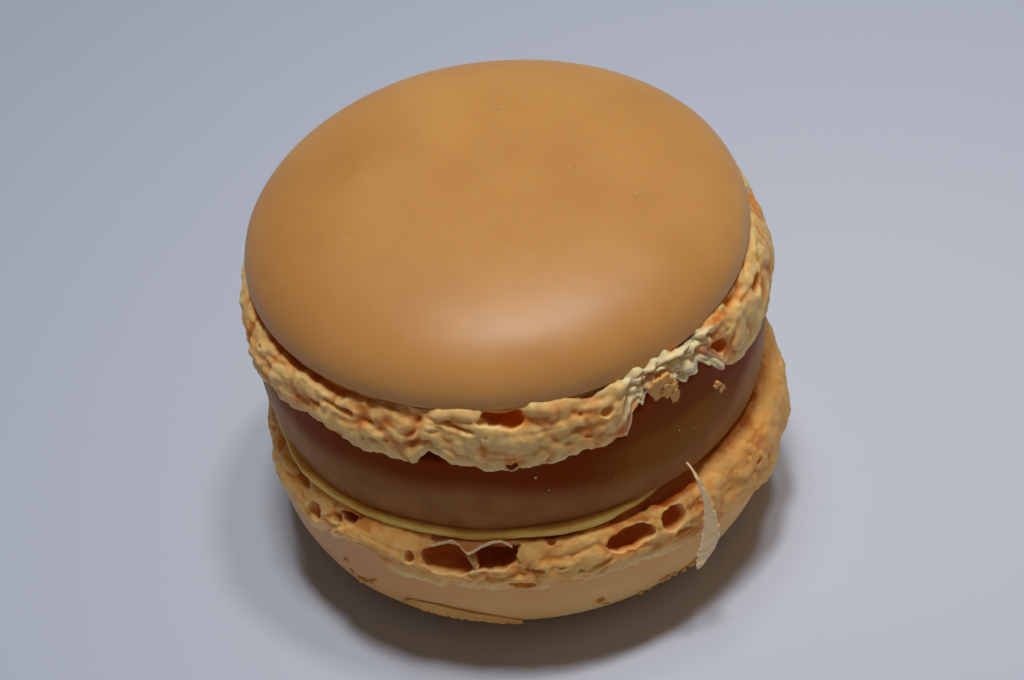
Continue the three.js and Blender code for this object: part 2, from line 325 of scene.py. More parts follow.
LOWER_HEM = [
    (-175, 0.3), (-168, 0.7), (-162, 0.5), (-158, 0.3), (-154, 0), (-151, -0.5), (-148, -0.8),
    (-145, -0.5), (-142.5, 0.1), (-140.5, 0.5), (-139, 0.7), (-137.5, 1.1), (-134, 1.3),
    (-130, 1.3), (-127.2, 1.35), (-126, 1.0), (-124.8, 0.65), (-122.5, 0.4), (-120, 0.15),
    (-117.5, 0), (-115, -0.15), (-113.6, -0.5), (-112, -0.3), (-110, -0.1), (-107, 0),
    (-104, 0.1), (-99, 0.1), (-92.5, 0.05), (-90, -0.1), (-88, 0.2), (-86, 0.5), (-85, 0.05),
    (-82.8, 0.3), (-80, 0.3), (-78.5, 0.5), (-76, 0.7), (-74.8, 1.0), (-68.2, 1.05),
    (-66, 0.85), (-64, 0.55), (-60, 0.55), (-55, 0.8), (-50, 0.7), (-40, 0.4), (-20, 0.2),
    (20, 0.1), (100, 0.2),
]
BREAK_FROM, BREAK_TO = -68.5, -38.0


def hem(table, m):
    """Height of a hem at every corner's azimuth, with finer raggedness added."""
    return table_at(table, m.theta) + waves(m.ring, (0.1, 0.9, 6.0), (0.06, 0.35, 2.2))


def in_break(theta):
    """1 along the broken stretch of the upper foot, 0 elsewhere."""
    return between(np.degrees(theta), BREAK_FROM, BREAK_FROM + 1, BREAK_TO - 4, BREAK_TO)


# %% [markdown]
# ## The camera
# It looks down at a little over 40 degrees through a longish lens, tilted slightly, from a
# quarter of a metre away. It could be set by hand in the viewport. Angles, a distance and a
# target are chosen because each can be changed by itself.

# %% Camera
ELEVATION = math.radians(42.70)
ROLL = math.radians(-6.437)
DISTANCE = 243.0
TARGET = (-0.59, 0.0, 14.91)
LENS = 109.9

back = Vector((0, -math.cos(ELEVATION), math.sin(ELEVATION)))
level = Vector((1, 0, 0))
upright = back.cross(level)
right = math.cos(ROLL) * level + math.sin(ROLL) * upright
above = back.cross(right)

camera = bpy.data.objects.new("camera", bpy.data.cameras.new("camera"))
camera.data.lens = LENS
camera.data.sensor_width = 36
camera.data.clip_start = 0.005
bpy.context.scene.collection.objects.link(camera)
turn = np.array([right, above, back]).T
eye = (Vector(TARGET) + DISTANCE * back) * MM
camera.matrix_world = Matrix([[*turn[i], eye[i]] for i in range(3)] + [[0, 0, 0, 1]])
bpy.context.scene.camera = camera
print("camera at", [round(v, 4) for v in eye])

# %% [markdown]
# ## Materials
# Dry crumb, satin skin and caramel differ in colour, grain and in how far light wanders inside
# them. Painted textures could show that, but they need unwrapping and blur when looked at
# closely, so each finish is built from nodes. These helpers keep that short.

# %% Helpers for materials
def new_group(name, numbers, outputs):
    """A node group that takes a Vector and some numbers, and gives out numbers."""
    group = bpy.data.node_groups.new(name, "ShaderNodeTree")
    group.interface.new_socket("Vector", in_out="INPUT", socket_type="NodeSocketVector")
    for socket, value in numbers.items():
        made = group.interface.new_socket(socket, in_out="INPUT", socket_type="NodeSocketFloat")
        made.default_value = value
    for socket in outputs:
        group.interface.new_socket(socket, in_out="OUTPUT", socket_type="NodeSocketFloat")
    return group, group.nodes.new("NodeGroupInput"), group.nodes.new("NodeGroupOutput")


def add(tree, kind, settings=None, **inputs):
    """A new node with its settings and inputs: i0=, i1= by number, or Name= by name. An input is
    a value or another node's socket."""
    node = tree.nodes.new(kind)
    for key, value in (settings or {}).items():
        setattr(node, key, value)
    for key, value in inputs.items():
        socket = node.inputs[int(key[1:]) if key[1:].isdigit() else key.replace("_", " ")]
        if isinstance(value, bpy.types.NodeSocket):
            tree.links.new(value, socket)
        else:
            socket.default_value = value
    return node


def maths(tree, how, a, b=0.0, clamp=False):
    """One sum of two numbers. MULTIPLY_ADD also adds the node's third input."""
    return add(tree, "ShaderNodeMath", {"operation": how, "use_clamp": clamp}, i0=a, i1=b).outputs[0]


def ramp(tree, value, low, high, start, end):
    """start where value is low, end where it is high, and a straight line between."""
    return add(tree, "ShaderNodeMapRange", Value=value, i1=low, i2=high, i3=start, i4=end).outputs[0]


def mix_colour(tree, share, a, b):
    """Colour a where share is 0, and b where it is 1. Each is a socket or a screen colour."""
    node = add(tree, "ShaderNodeMix", {"data_type": "RGBA"}, i0=share)
    for index, value in ((6, a), (7, b)):
        if isinstance(value, bpy.types.NodeSocket):
            tree.links.new(value, node.inputs[index])
        else:
            node.inputs[index].default_value = (*srgb(*value), 1)
    return node.outputs[2]


def srgb(red, green, blue):
    """A colour given as 0 to 255 on a screen, as the linear numbers that a shader wants."""
    return tuple(((c / 255 + 0.055) / 1.055) ** 2.4 if c > 10 else c / 255 / 12.92
                 for c in (red, green, blue))

# %% [markdown]
# ### Grain and specks
# The finishes share a fine grain, and the skin and the caramel a sprinkle of specks. Each could
# be built again in every material. Two node groups hold them instead. A group only gives out
# masks and heights, and each material keeps its own shader.

# %% Shared node groups
def make_grain():
    """Fine crumb: a height, and a mask from noise about five times as wide."""
    group, source, sink = new_group("grain", {"Size": 1.0}, ["Height", "Mask"])
    size = maths(group, "DIVIDE", 1000.0, source.outputs["Size"])
    fine = add(group, "ShaderNodeTexNoise", Vector=source.outputs["Vector"], Scale=size,
               Detail=4.0, Roughness=0.65)
    wide = add(group, "ShaderNodeTexNoise", Vector=source.outputs["Vector"],
               Scale=maths(group, "MULTIPLY", size, 0.22), Detail=3.0, Roughness=0.55)
    group.links.new(fine.outputs[0], sink.inputs["Height"])
    spread = maths(group, "MULTIPLY_ADD", wide.outputs[0], 2.4, clamp=True)
    spread.node.inputs[2].default_value = -0.7
    group.links.new(spread, sink.inputs["Mask"])
    return group


def make_specks():
    """Small round specks, some of them dropped: 1 on a speck, 0 elsewhere."""
    numbers = {"Spacing": 1.0, "Radius": 0.1, "Share": 0.5}
    group, source, sink = new_group("specks", numbers, ["Mask"])
    scale = maths(group, "DIVIDE", 1000.0, source.outputs["Spacing"])
    cells = add(group, "ShaderNodeTexVoronoi", Vector=source.outputs["Vector"], Scale=scale)
    reach = maths(group, "DIVIDE", source.outputs["Radius"], source.outputs["Spacing"])
    inside = maths(group, "LESS_THAN", cells.outputs["Distance"], reach)
    kept = maths(group, "LESS_THAN", cells.outputs["Color"], source.outputs["Share"])
    group.links.new(maths(group, "MULTIPLY", inside, kept), sink.inputs["Mask"])
    return group


GRAIN = make_grain()
SPECKS = make_specks()

# %% [markdown]
# ### Starting and finishing a material
# Every finish of the macaron starts from the same Principled shader and ends in a colour and a
# bump. Where it has a depth, light wanders inside it by subsurface scattering. The finest grain
# is a bump, since as real relief it would need millions of squares.

# %% New materials
def new_material(name, roughness, specular=0.5, depth=0.0, glow=(1.0, 0.65, 0.35)):
    """A Principled material; depth is how far light wanders inside it, in mm."""
    material = bpy.data.materials.new(name)
    material.use_nodes = True
    tree = material.node_tree
    shader = tree.nodes["Principled BSDF"]
    shader.inputs["Roughness"].default_value = roughness
    shader.inputs["Specular IOR Level"].default_value = specular
    if depth:
        shader.inputs["Subsurface Weight"].default_value = 1.0
        shader.inputs["Subsurface Radius"].default_value = glow
        shader.inputs["Subsurface Scale"].default_value = depth * MM
    here = add(tree, "ShaderNodeTexCoord").outputs["Object"]
    return material, tree, shader, here


def grain_of(tree, here, size):
    node = add(tree, "ShaderNodeGroup", {"node_tree": GRAIN}, Vector=here, Size=size)
    return node.outputs["Height"], node.outputs["Mask"]


def specks_of(tree, here, spacing, radius, share):
    node = add(tree, "ShaderNodeGroup", {"node_tree": SPECKS}, Vector=here, Spacing=spacing,
               Radius=radius, Share=share)
    return node.outputs["Mask"]


def finish(tree, shader, colour, height, strength, distance):
    """Gives a shader its colour, and a bump that is distance mm high."""
    tree.links.new(colour, shader.inputs["Base Color"])
    node = add(tree, "ShaderNodeBump", Strength=strength, Distance=distance * MM, Height=height)
    tree.links.new(node.outputs[0], shader.inputs["Normal"])


def attribute(tree, name):
    """The number painted on the mesh under that name, 0 where there is none."""
    return add(tree, "ShaderNodeAttribute", {"attribute_name": name}).outputs["Fac"]

# %% [markdown]
# ### Skin
# The skin of a macaron is satin smooth, with faint blotches and a few pale specks. Its left side
# is painted darker, a painted shade where less light reaches it. A plain colour would look like
# plastic, so the colour drifts with the grain and light wanders under the surface. "hollow"
# paints shade on the edge that is tucked into the foot.

# %% Skin material
def make_skin(name, light, dark, glow):
    material, tree, shader, here = new_material(name, 0.4, 0.4, 0.7, glow)
    fine, _ = grain_of(tree, here, 0.35)
    _, blotch = grain_of(tree, here, 1.6)
    colour = mix_colour(tree, blotch, dark, light)
    place = add(tree, "ShaderNodeSeparateXYZ", Vector=here)
    # painted shade: the skin is mixed towards a darker brown on its left side, where less light
    # falls
    left = ramp(tree, place.outputs["X"], -19 * MM, -4 * MM, 0.35, 0.0)
    colour = mix_colour(tree, left, colour, (160, 104, 50))
    pale = specks_of(tree, here, 2.6, 0.07, 0.12)
    colour = mix_colour(tree, pale, colour, (225, 185, 145))
    # painted shade on the edge tucked into the foot, where the "hollow" number is high
    colour = mix_colour(tree, attribute(tree, "hollow"), colour, (120, 50, 8))
    tree.links.new(ramp(tree, blotch, 0, 1, 0.38, 0.46), shader.inputs["Roughness"])
    finish(tree, shader, colour, fine, 0.2, 0.02)
    return material


SKIN = make_skin("skin", (218, 163, 94), (207, 151, 84), (1.0, 0.65, 0.35))
# painted light: the lower skin is a brighter copy of the skin, standing in for light on the
# underside
LOWER_SKIN_PAINTED_BRIGHTER = make_skin("lower_skin", (255, 198, 126), (252, 182, 108), (1.0, 0.9, 0.8))

# %% [markdown]
# ### Foot
# The foot is dry crumb, tan on its flat stretches. Its crests are painted paler, a painted
# highlight, and every hollow is painted orange-brown: painted shade, with a painted glow of light
# that has passed through the thin walls round it. A renderer could find the hollows by itself
# with an occlusion node, but slowly and not the same in every program. So the meshes carry three
# numbers at each corner: "hollow", how deep it lies, "crest", how high it stands, and "raw", how
# freshly it is broken.

# %% Foot material
def make_foot(name, crest, crust, hollow, raw, depth=0.3):
    material, tree, shader, here = new_material(name, 0.6, 0.25, depth, (1.0, 0.95, 0.88))
    fine, patch = grain_of(tree, here, 0.2)
    height = maths(tree, "MULTIPLY_ADD", patch, 0.5)
    height.node.inputs[2].default_value = -0.3
    # painted highlight: the crest colour wherever the "crest" number is high
    top = maths(tree, "ADD", attribute(tree, "crest"), height, clamp=True)
    colour = mix_colour(tree, top, crust, crest)
    _, blush = grain_of(tree, here, 0.45)
    colour = mix_colour(tree, maths(tree, "MULTIPLY", blush, 0.3), colour, (248, 176, 106))
    colour = mix_colour(tree, attribute(tree, "raw"), colour, raw)
    # painted shade and glow: the hollow colour wherever the "hollow" number is high
    colour = mix_colour(tree, attribute(tree, "hollow"), colour, hollow)
    finish(tree, shader, colour, fine, 0.5, 0.06)
    return material


# each foot: painted highlight colour, crust, painted shade colour, raw crumb
UPPER_CRUMB = make_foot("upper_crumb", (255, 226, 158), (250, 188, 110), (222, 120, 6),
                        (255, 227, 178))
LOWER_CRUMB = make_foot("lower_crumb", (255, 216, 138), (248, 180, 96), (190, 98, 6),
                        (255, 212, 156))
RAW_CRUMB = make_foot("raw_crumb", (255, 230, 180), (255, 214, 150), (230, 150, 30),
                      (255, 228, 178), 0.0)

# %% [markdown]
# ### Caramel, lip and flakes
# The filling is dense, dull caramel, redder towards its top, with an olive patch at the front
# right. The lip, the sliver, the film and the peel are dried skin, each with its own tint. Some
# are thin enough to let light through. A glass-like shader could do that, but a slightly
# lowered alpha does it with far less noise.

# %% Caramel, lip and flake materials
def make_caramel():
    material, tree, shader, here = new_material("caramel", 0.42, 0.04, 0.4, (1.0, 0.65, 0.45))
    fine, blotch = grain_of(tree, here, 0.5)
    low = mix_colour(tree, blotch, (158, 102, 54), (176, 120, 68))
    colour = mix_colour(tree, attribute(tree, "hollow"), low, (140, 58, 1))
    colour = mix_colour(tree, attribute(tree, "olive"), colour, (158, 100, 26))
    speck = specks_of(tree, here, 1.1, 0.06, 0.2)
    colour = mix_colour(tree, speck, colour, (176, 120, 66))
    finish(tree, shader, colour, fine, 0.2, 0.03)
    return material


def make_thin(name, light, dark, alpha=1.0, specular=0.2, depth=0.0, grain=0.4, height=0.04):
    """Two colours of dried skin; alpha below 1 lets a little light straight through."""
    material, tree, shader, here = new_material(name, 0.5, specular, depth)
    fine, patch = grain_of(tree, here, grain)
    shader.inputs["Alpha"].default_value = alpha
    finish(tree, shader, mix_colour(tree, patch, dark, light), fine, 0.3, height)
    return material


CARAMEL = make_caramel()
LIP_SKIN = make_thin("lip", (252, 208, 118), (242, 184, 84), 1.0, 0.3, 0.5, 0.5, 0.03)
PALE_FLAKE = make_thin("pale_flake", (255, 228, 182), (255, 214, 156), 0.97)
MEMBRANE = make_thin("membrane", (200, 134, 70), (176, 108, 50), 0.9)
PEEL_SKIN = make_thin("peel_skin", (240, 184, 104), (226, 160, 82), 1.0)
print("materials:", [m.name for m in bpy.data.materials])

# %% [markdown]
# ## Dressing a node
# Every piece rides on the one body of the part, hides the node it dresses and takes its
# material. One short function does this for all, so that none of it is forgotten.

# %% Finishing a piece
def dress(piece, material, node):
    piece.data.materials.clear()
    piece.data.materials.append(material)
    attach(piece, "root")
    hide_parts(node)
    print(piece.name, "has", len(piece.data.polygons), "faces")

# %% [markdown]
# ## The upper skin
# A shallow dome with a squarish shoulder. A flattened ball would be too pointed at the
# top and too soft at the shoulder, so the outline is a superellipse. Below the rim the skin turns
# under and ends just inside the foot. The part that nobody sees, under the dome, is a
# plain plug, so the piece is closed.

# %% Upper skin
DOME_RADIUS, DOME_HEIGHT, DOME_POWER = 19.15, 5.9, 2.8
RIM = 5.1                             # where the dome starts, above the foot's base
SKIN_STEPS = 320                      # squares round a skin


def upper_skin_rows():
    rows = [(0, 0.03), (14.9, 0.03), (15.1, 0.1), (15.1, 4.0), (15.3, 4.1), (18.0, 4.15),
            (18.5, 4.3), (18.85, 4.6), (19.05, 4.85)]
    steps = 60
    for i in range(steps + 1):
        angle = math.pi / 2 * (1 - i / steps)
        radius = DOME_RADIUS * math.sin(angle) ** (2 / DOME_POWER)
        rows.append((radius, RIM + DOME_HEIGHT * math.cos(angle)))
    return np.array(rows)


def make_upper_skin():
    rows = upper_skin_rows()
    piece = wrap("upper_skin", rows, SKIN_STEPS)
    m = measure(piece, rows, 0)
    outer = smoothstep(4.2, RIM, m.z) * smoothstep(15, 18, m.radius)
    outer = np.maximum(outer, (m.z > RIM).astype(float))
    bulge = 0.15 * np.maximum(0, np.cos(m.theta - math.radians(150))) ** 2
    bulge *= (m.radius / DOME_RADIUS) ** 3
    soft = waves(m.places, (0.07, 9.0, 3.1), (0.02, 3.2, 8.4))
    z = m.z + outer * (m.radius * np.cos(m.theta) * DOME_LEAN + soft)
    points = from_polar(m.theta, m.radius + outer * (bulge + 0.4 * soft), z)
    put(piece, points + [*UPPER_SHIFT, UPPER_BASE])
    # painted shade: "hollow" marks the skin's edge that turns under the rim into the foot
    paint(piece, "hollow", smoothstep(5.0, 4.6, m.z) * (m.radius > 15.2))
    dress(piece, SKIN, "top_shell")


make_upper_skin()

# %% [markdown]
# ## The upper foot
# A ring of crumb under the skin, where the batter rose and spilled. It could be part of the
# skin's mesh, but it needs much finer squares and another finish, so it is a piece of its own.
# Its key rows carry, after radius and height, how rough the surface is and how much the row
# follows the hem.

# %% Upper foot rows
FOOT_STEPS = 1000                     # squares round a foot
ROW_GAP = 0.125                       # from row to row, in mm
UPPER_FOOT_TOP = 4.9                  # above this a row no longer follows the hem
UPPER_FOOT_ROWS = [
    # radius, height, rough, hem
    (15.0, 0.05, 0, 0), (17.3, 0.03, 0, 0.4), (17.7, 0.02, 0, 1), (19.0, 0.0, 0.3, 1),
    (19.8, 0.05, 0.8, 1), (20.05, 0.55, 1, 1), (20.2, 1.3, 1, 1), (20.12, 2.3, 1, 1),
    (19.88, 3.3, 1, 1), (19.55, 4.1, 1, 1), (19.2, 4.65, 1, 1), (18.9, 4.88, 0.9, 1),
    (18.5, 4.85, 0.7, 0), (18.0, 4.7, 0.2, 0), (15.0, 4.7, 0, 0),
]


def foot_rows(keys, hidden_radius):
    """Foot rows in a closed loop: fine where the crumb shows, every eighth one inside."""
    rows = smooth_rows(keys, ROW_GAP)
    rows[:, 2:] = np.clip(rows[:, 2:], 0, 1)
    last = len(rows) - 1
    keep = [i for i in range(last + 1) if rows[i, 0] > hidden_radius or i % 8 == 0 or i == last]
    return np.vstack([rows[keep], rows[keep[:1]]])


def row_at(rows, key):
    """The number of the row that lies nearest to a key row."""
    return int(np.hypot(rows[:, 0] - key[0], rows[:, 1] - key[1]).argmin())


upper_foot_rows = foot_rows(UPPER_FOOT_ROWS, 18.0)
UPPER_START = row_at(upper_foot_rows, UPPER_FOOT_ROWS[4])
print("upper foot rows:", len(upper_foot_rows))

# %% [markdown]
# ### Where the upper foot has bubbles
# Each real foot has its own few large bubbles. A random draw could place them, but then
# the best known ones would move with every change of seed, so these are listed: azimuth,
# way up the outline, half width, half height and depth. "Recess" is how deep the shelf under
# the skin's rim sinks, azimuth by azimuth, and "reach" is how far the foot flares out.

# %% Upper foot tables
UPPER_BUBBLES = [
    (-94.3, 4.75, 1.2, 0.75, 1.2), (-91.9, 4.6, 1.15, 0.85, 1.3), (-97.3, 4.4, 0.6, 0.3, 0.6),
    (-92.3, 0.35, 0.5, 0.36, 0.9), (-71.4, 3.4, 0.5, 0.42, 0.55), (-76.8, 3.65, 0.2, 0.2, 0.25),
    (-73.9, 5.3, 0.75, 0.32, 0.9), (-71.8, 5.35, 0.6, 0.3, 0.8), (-40.3, 2.55, 0.75, 0.6, 0.75),
    (-21.6, 3.5, 0.95, 0.55, 0.9), (38, 2.6, 1.1, 0.9, 0.9), (92, 3.2, 0.9, 0.8, 0.8),
    (131, 2.2, 1.2, 0.8, 0.9), (169, 3.1, 0.9, 0.9, 0.8), (-48.5, 5.9, 0.6, 0.35, 0.6),
]
UPPER_DENTS = [
    (-105, 4.25, 0.5, 0.3, 0.35), (-103.6, 4.0, 0.55, 0.26, 0.45), (-102, 3.82, 0.6, 0.24, 0.45),
    (-100.4, 3.72, 0.5, 0.25, 0.35), (-111.7, 4.0, 0.5, 0.75, 0.55), (-113.2, 3.0, 0.8, 0.55, 0.6),
    (-112.8, 2.0, 0.9, 0.6, 0.6), (-109.8, 1.6, 1.0, 0.7, 0.45), (-134.3, 3.42, 0.5, 0.32, 0.35),
    (-132.3, 3.25, 0.6, 0.28, 0.45), (-130, 3.2, 0.6, 0.3, 0.5), (-128.2, 3.25, 0.5, 0.4, 0.55),
    (-137, 2.4, 0.8, 0.3, 0.3), (-123, 3.0, 0.8, 0.35, 0.35), (-120.5, 2.6, 0.6, 0.4, 0.3),
    (-144, 2.0, 0.7, 0.7, 0.35), (-153.5, 2.4, 0.7, 0.6, 0.45), (-121.8, 1.6, 1.1, 0.35, 0.3),
    (-78.4, 2.6, 0.9, 0.4, 0.3), (-80.3, 1.7, 0.5, 0.4, 0.3), (-85.5, 3.2, 1.4, 0.3, 0.2),
    (-88, 2.2, 1.2, 0.5, 0.15), (-63, 4.6, 0.8, 0.3, 0.25),
]
RECESS = [(-172, 0.2), (-166, 0.75), (-156, 0.85), (-147, 1.0), (-140, 0.75), (-132, 0.5),
          (-124, 0.45), (-118, 0.4), (-114, 0.2), (-111.5, 0.3), (-107, -0.25), (-100, -0.3),
          (-96, 0.3), (-90, 0.3), (-87, -0.25), (-80, -0.3), (-76, 0.25), (-70, 0.2), (-66, -0.4),
          (-60, -0.75), (-52, -0.6), (-48, 0.3), (-45, -0.4), (-38, -0.4), (-33, 0.3), (-27, 0.35),
          (-22, 0.1), (0, 0.05), (40, 0.3), (90, 0.1), (140, 0.3)]
UPPER_REACH = [(-178, 0.05), (-168, 0.3), (-160, 0.5), (-152, 0.4), (-146, 0.15), (-140, 0),
               (-30, 0), (-22, 0.15), (-10, 0.3), (2, 0.3), (12, 0.2), (25, 0.05), (90, 0)]

# %% [markdown]
# ### The upper foot's mesh
# The ruffle itself. The hem moves the rows first, then folds, bubbles, dents and the shelf push
# the corners along the outline's outward side, and where the crumb is freshly broken, chips
# take the place of folds. A displacement texture would be simpler, but it can't overhang.
# The smallest bubbles don't matter one by one, so they are drawn at random with a fixed seed.

# %% Upper foot
def wall_radius(rows, start, z):
    """The foot's own outer radius at a height, for rows that were squeezed up by the hem."""
    outer = rows[start:]
    outer = outer[:int(outer[:, 1].argmax()) + 1]
    return np.interp(z, outer[:, 1], outer[:, 0])


def folds(m, size, seed):
    """Soft folds of dough and the puffy lumps on them, from about -1 to 1."""
    bend = np.stack([wave(m.places, size, seed=seed + k) for k in (0.3, 1.1, 2.9)], 1)
    flow = (m.places + 0.3 * size * bend) * (1, 1, 1.3)
    total = 0.55 * wave(flow, 1.3 * size, seed=seed)
    total += 0.3 * pebbles(flow, 0.85 * size, seed + 5)
    total += 0.2 * pebbles(flow, 0.42 * size, seed + 8)
    return total + 0.08 * pebbles(m.places, 0.2 * size, seed + 2)


def make_upper_foot():
    rows = upper_foot_rows
    piece = wrap("upper_foot", rows, FOOT_STEPS)
    m = measure(piece, rows, UPPER_START)
    rough, follow = m.keys[:, 2], m.keys[:, 3]
    broken = in_break(m.theta)
    teeth = 0.22 * np.tanh(5 * wave(m.ring, 0.95, seed=9.1))
    teeth += 0.08 * np.tanh(5 * wave(m.ring, 0.42, seed=2.6))
    rise = hem(UPPER_HEM, m) + broken * teeth
    z = m.z + follow * rise * np.maximum(0, 1 - m.z / UPPER_FOOT_TOP)
    squeezed = wall_radius(rows, UPPER_START, z)
    wall = (m.way > 0) & (m.z < 4.85)
    radius = np.where(wall, m.radius + (squeezed - m.radius) * broken, m.radius)
    fold = folds(m, 2.4, 0.5)
    grain = waves(m.places, (1, 0.3, 4.4), (0.6, 0.15, 7.3))
    raw = broken * smoothstep(3.6, 1.6, z - rise)
    sunk, slide = bubbles(m, UPPER_BUBBLES + UPPER_TINY, seed=0.4)
    dent = dents(m, UPPER_DENTS)
    uneven = wave(m.places, 1.1, seed=6.6)
    shelf = smoothstep(3.9, 4.75, m.way + 0.5 * uneven) * table_at(RECESS, m.theta)
    shelf *= 1 + 0.5 * uneven
    chips = 0.26 * pebbles(m.places, 1.1, 3.9) + 0.06 * pebbles(m.places, 0.5, 4.9)
    relief = 0.3 * fold * (1 - 0.6 * raw) + 0.03 * grain + raw * chips
    move = rough * (relief - sunk - dent - shelf)
    reach = table_at(UPPER_REACH, m.theta) * smoothstep(4.4, 2.0, m.z)
    lean = smoothstep(1.5, 4.6, m.z) * m.radius * np.cos(m.theta) * DOME_LEAN
    skirt = 0.9 * np.maximum(0, np.cos(m.theta - math.radians(10)))
    skirt *= smoothstep(3.6, 0, m.z) * follow
    radius = radius + rough * (reach + aside(UPPER_FOOT_SHIFT, m.theta))
    points = pushed(m, radius, z + lean - skirt, move, rough[:, None] * slide)
    put(piece, points + [*UPPER_SHIFT, UPPER_BASE])
    # painted shade: darker in bubbles, dents, creases and on the shelf under the skin's rim
    creases = smoothstep(-0.3, -1.0, fold)
    hollow = 0.9 * smoothstep(0.1, 0.9, sunk) + 0.8 * smoothstep(0.1, 0.55, dent)
    hollow += smoothstep(0.15, 0.6, shelf) + 0.65 * creases
    paint(piece, "hollow", rough * hollow)
    # painted highlight: paler on the tops of the folds
    paint(piece, "crest", 0.5 + 0.5 * fold)
    paint(piece, "raw", raw)
    dress(piece, UPPER_CRUMB, "top_shell")


UPPER_TINY = (scattered(26, (-175, -70), (0.4, 4.0), (0.1, 0.3), 0.8, 5)
              + scattered(60, (-40, 180), (0.4, 4.2), (0.1, 0.4), 0.8, 6))
make_upper_foot()

# %% [markdown]
# ## The filling
# A soft disc of caramel that bulges between the shells. A cylinder with rounded edges would do
# if it were even. This one sits off centre and still stands up where the upper foot has broken
# away, so it is wrapped like the rest, with its top lifted behind the gap.

# %% Filling
FILLING_INSET = [(-178, -0.3), (-165, -0.45), (-150, -0.3), (-135, 0), (0, 0), (150, 0)]
ROUND_STEPS = 480                     # squares round the filling and the lip
FILLING_HEIGHT = UPPER_BASE - FILLING_BASE


def filling_rows():
    """Flat below, a side that bulges a little, and flat above."""
    edge, bulge = 19.65, 0.28
    height = FILLING_HEIGHT
    rows = [(0, 0.02), (9.0, 0.02), (17.0, 0.02), (18.6, 0.02)]
    steps = 44
    for i in range(steps + 1):
        up = i / steps
        rows.append((edge + bulge * (1 - (2 * up - 1) ** 2), max(0.02, up * height)))
    rows += [(18.9, height), (18.5, height), (18.1, height), (17.9, height - 0.01),
             (9.0, height - 0.02), (0, height - 0.02)]
    return np.array(rows)


def make_filling():
    rows = filling_rows()
    piece = wrap("caramel_filling", rows, ROUND_STEPS)
    m = measure(piece, rows, 0)
    side = smoothstep(18.0, 19.2, m.radius)
    degrees = np.degrees(m.theta)
    inset = side * table_at(FILLING_INSET, m.theta)
    soft = 0.06 * wave(m.places, 6.0, (1, 1, 0.5), 2.2)
    soft += 0.02 * wave(m.places, 1.8, (1, 1, 0.6), 5.1)
    behind = in_break(m.theta)
    rise = np.maximum(0, table_at(UPPER_HEM, m.theta) - 0.3) * behind
    top = smoothstep(FILLING_HEIGHT - 0.5, FILLING_HEIGHT, m.z)
    top = top * smoothstep(18.0, 18.15, m.radius)
    uneven = 0.12 * wave(m.places, 1.1, seed=3.3) * behind
    points = from_polar(m.theta, m.radius + side * soft + inset, m.z + top * (rise + uneven))
    put(piece, points + [*FILLING_SHIFT, FILLING_BASE])
    line = 4.1 - 1.3 * between(degrees, -110, -70, -40, -20)
    uneven = m.z + 0.5 * wave(m.places, 5.0, seed=4.6)
    paint(piece, "hollow", smoothstep(line - 0.8, line + 1.4, uneven))
    # olive towards the front right, partway up the side
    olive_patch = between(degrees, -80, -62, -45, -30) * between(m.z, 1.5, 3.0, 5.2, 6.8)
    paint(piece, "olive", 0.8 * olive_patch)
    dress(piece, CARAMEL, "filling")


make_filling()

# %% [markdown]
# ## The lower skin
# The same kind of dome, upside down, pressed nearly flat where it lies on the table. The upper
# skin could be turned over and used again, but the quarter turn into this one's side is wider
# on the front right, so its places come from a function of azimuth and turn. Crumbs and the
# peeled strip use it too. Behind the foot its wall goes on up, to show where the hem is high.

# %% Lower skin
LOWER_WALL = 19.8                     # radius of the upright wall
SHOULDER = 5.6                        # how far the shoulder curves in, and up
BELLY = 0.15                          # height at which the shoulder starts
WALL_TOP = 9.6


def lower_skin_rows():
    """Rows of radius, height and turn: 0 to 1 on the rounded shoulder, 2 on the wall."""
    rows = [(0, 0, 0), (6.5, 0, 0), (8.5, 0.01, 0), (10.4, 0.04, 0), (12.3, 0.09, 0)]
    steps = 30
    for i in range(steps + 1):
        angle = i / steps * math.pi / 2
        radius = LOWER_WALL - SHOULDER + SHOULDER * math.sin(angle)
        rows.append((radius, BELLY + SHOULDER * (1 - math.cos(angle)), i / steps))
    rows += [(LOWER_WALL, 6.4, 2), (LOWER_WALL, 7.15, 2), (LOWER_WALL, 7.9, 2), (19.78, 8.6, 2),
             (19.72, 9.3, 2), (19.4, WALL_TOP, 2), (15.6, WALL_TOP, 3), (15.5, 12.7, 3),
             (0, 12.75, 3)]
    return np.array(rows, float)


def shoulder(theta, turn):
    """How far the shoulder lies inward and up, in mm, part of the way round its quarter turn."""
    width = SHOULDER + 1.9 * np.maximum(0, np.cos(theta - math.radians(-45)))
    depth = np.minimum(width, 6.6)
    angle = turn * math.pi / 2
    return width * (np.sin(angle) - 1), depth * (1 - np.cos(angle))


SWING = 1.3 * np.array([math.cos(math.radians(-155)), math.sin(math.radians(-155))])


def on_lower_skin(theta, turn, raised=0.0):
    """A place on the lower skin in mm, from azimuth in radians and turn 0 to 1."""
    inward, up = shoulder(theta, turn)
    radius = LOWER_WALL + inward + turn ** 2 * aside(LOWER_DOME_SHIFT, theta) + raised
    return from_polar(theta, radius, BELLY + up + 0.6 * turn ** 3 * aside(SWING, theta))


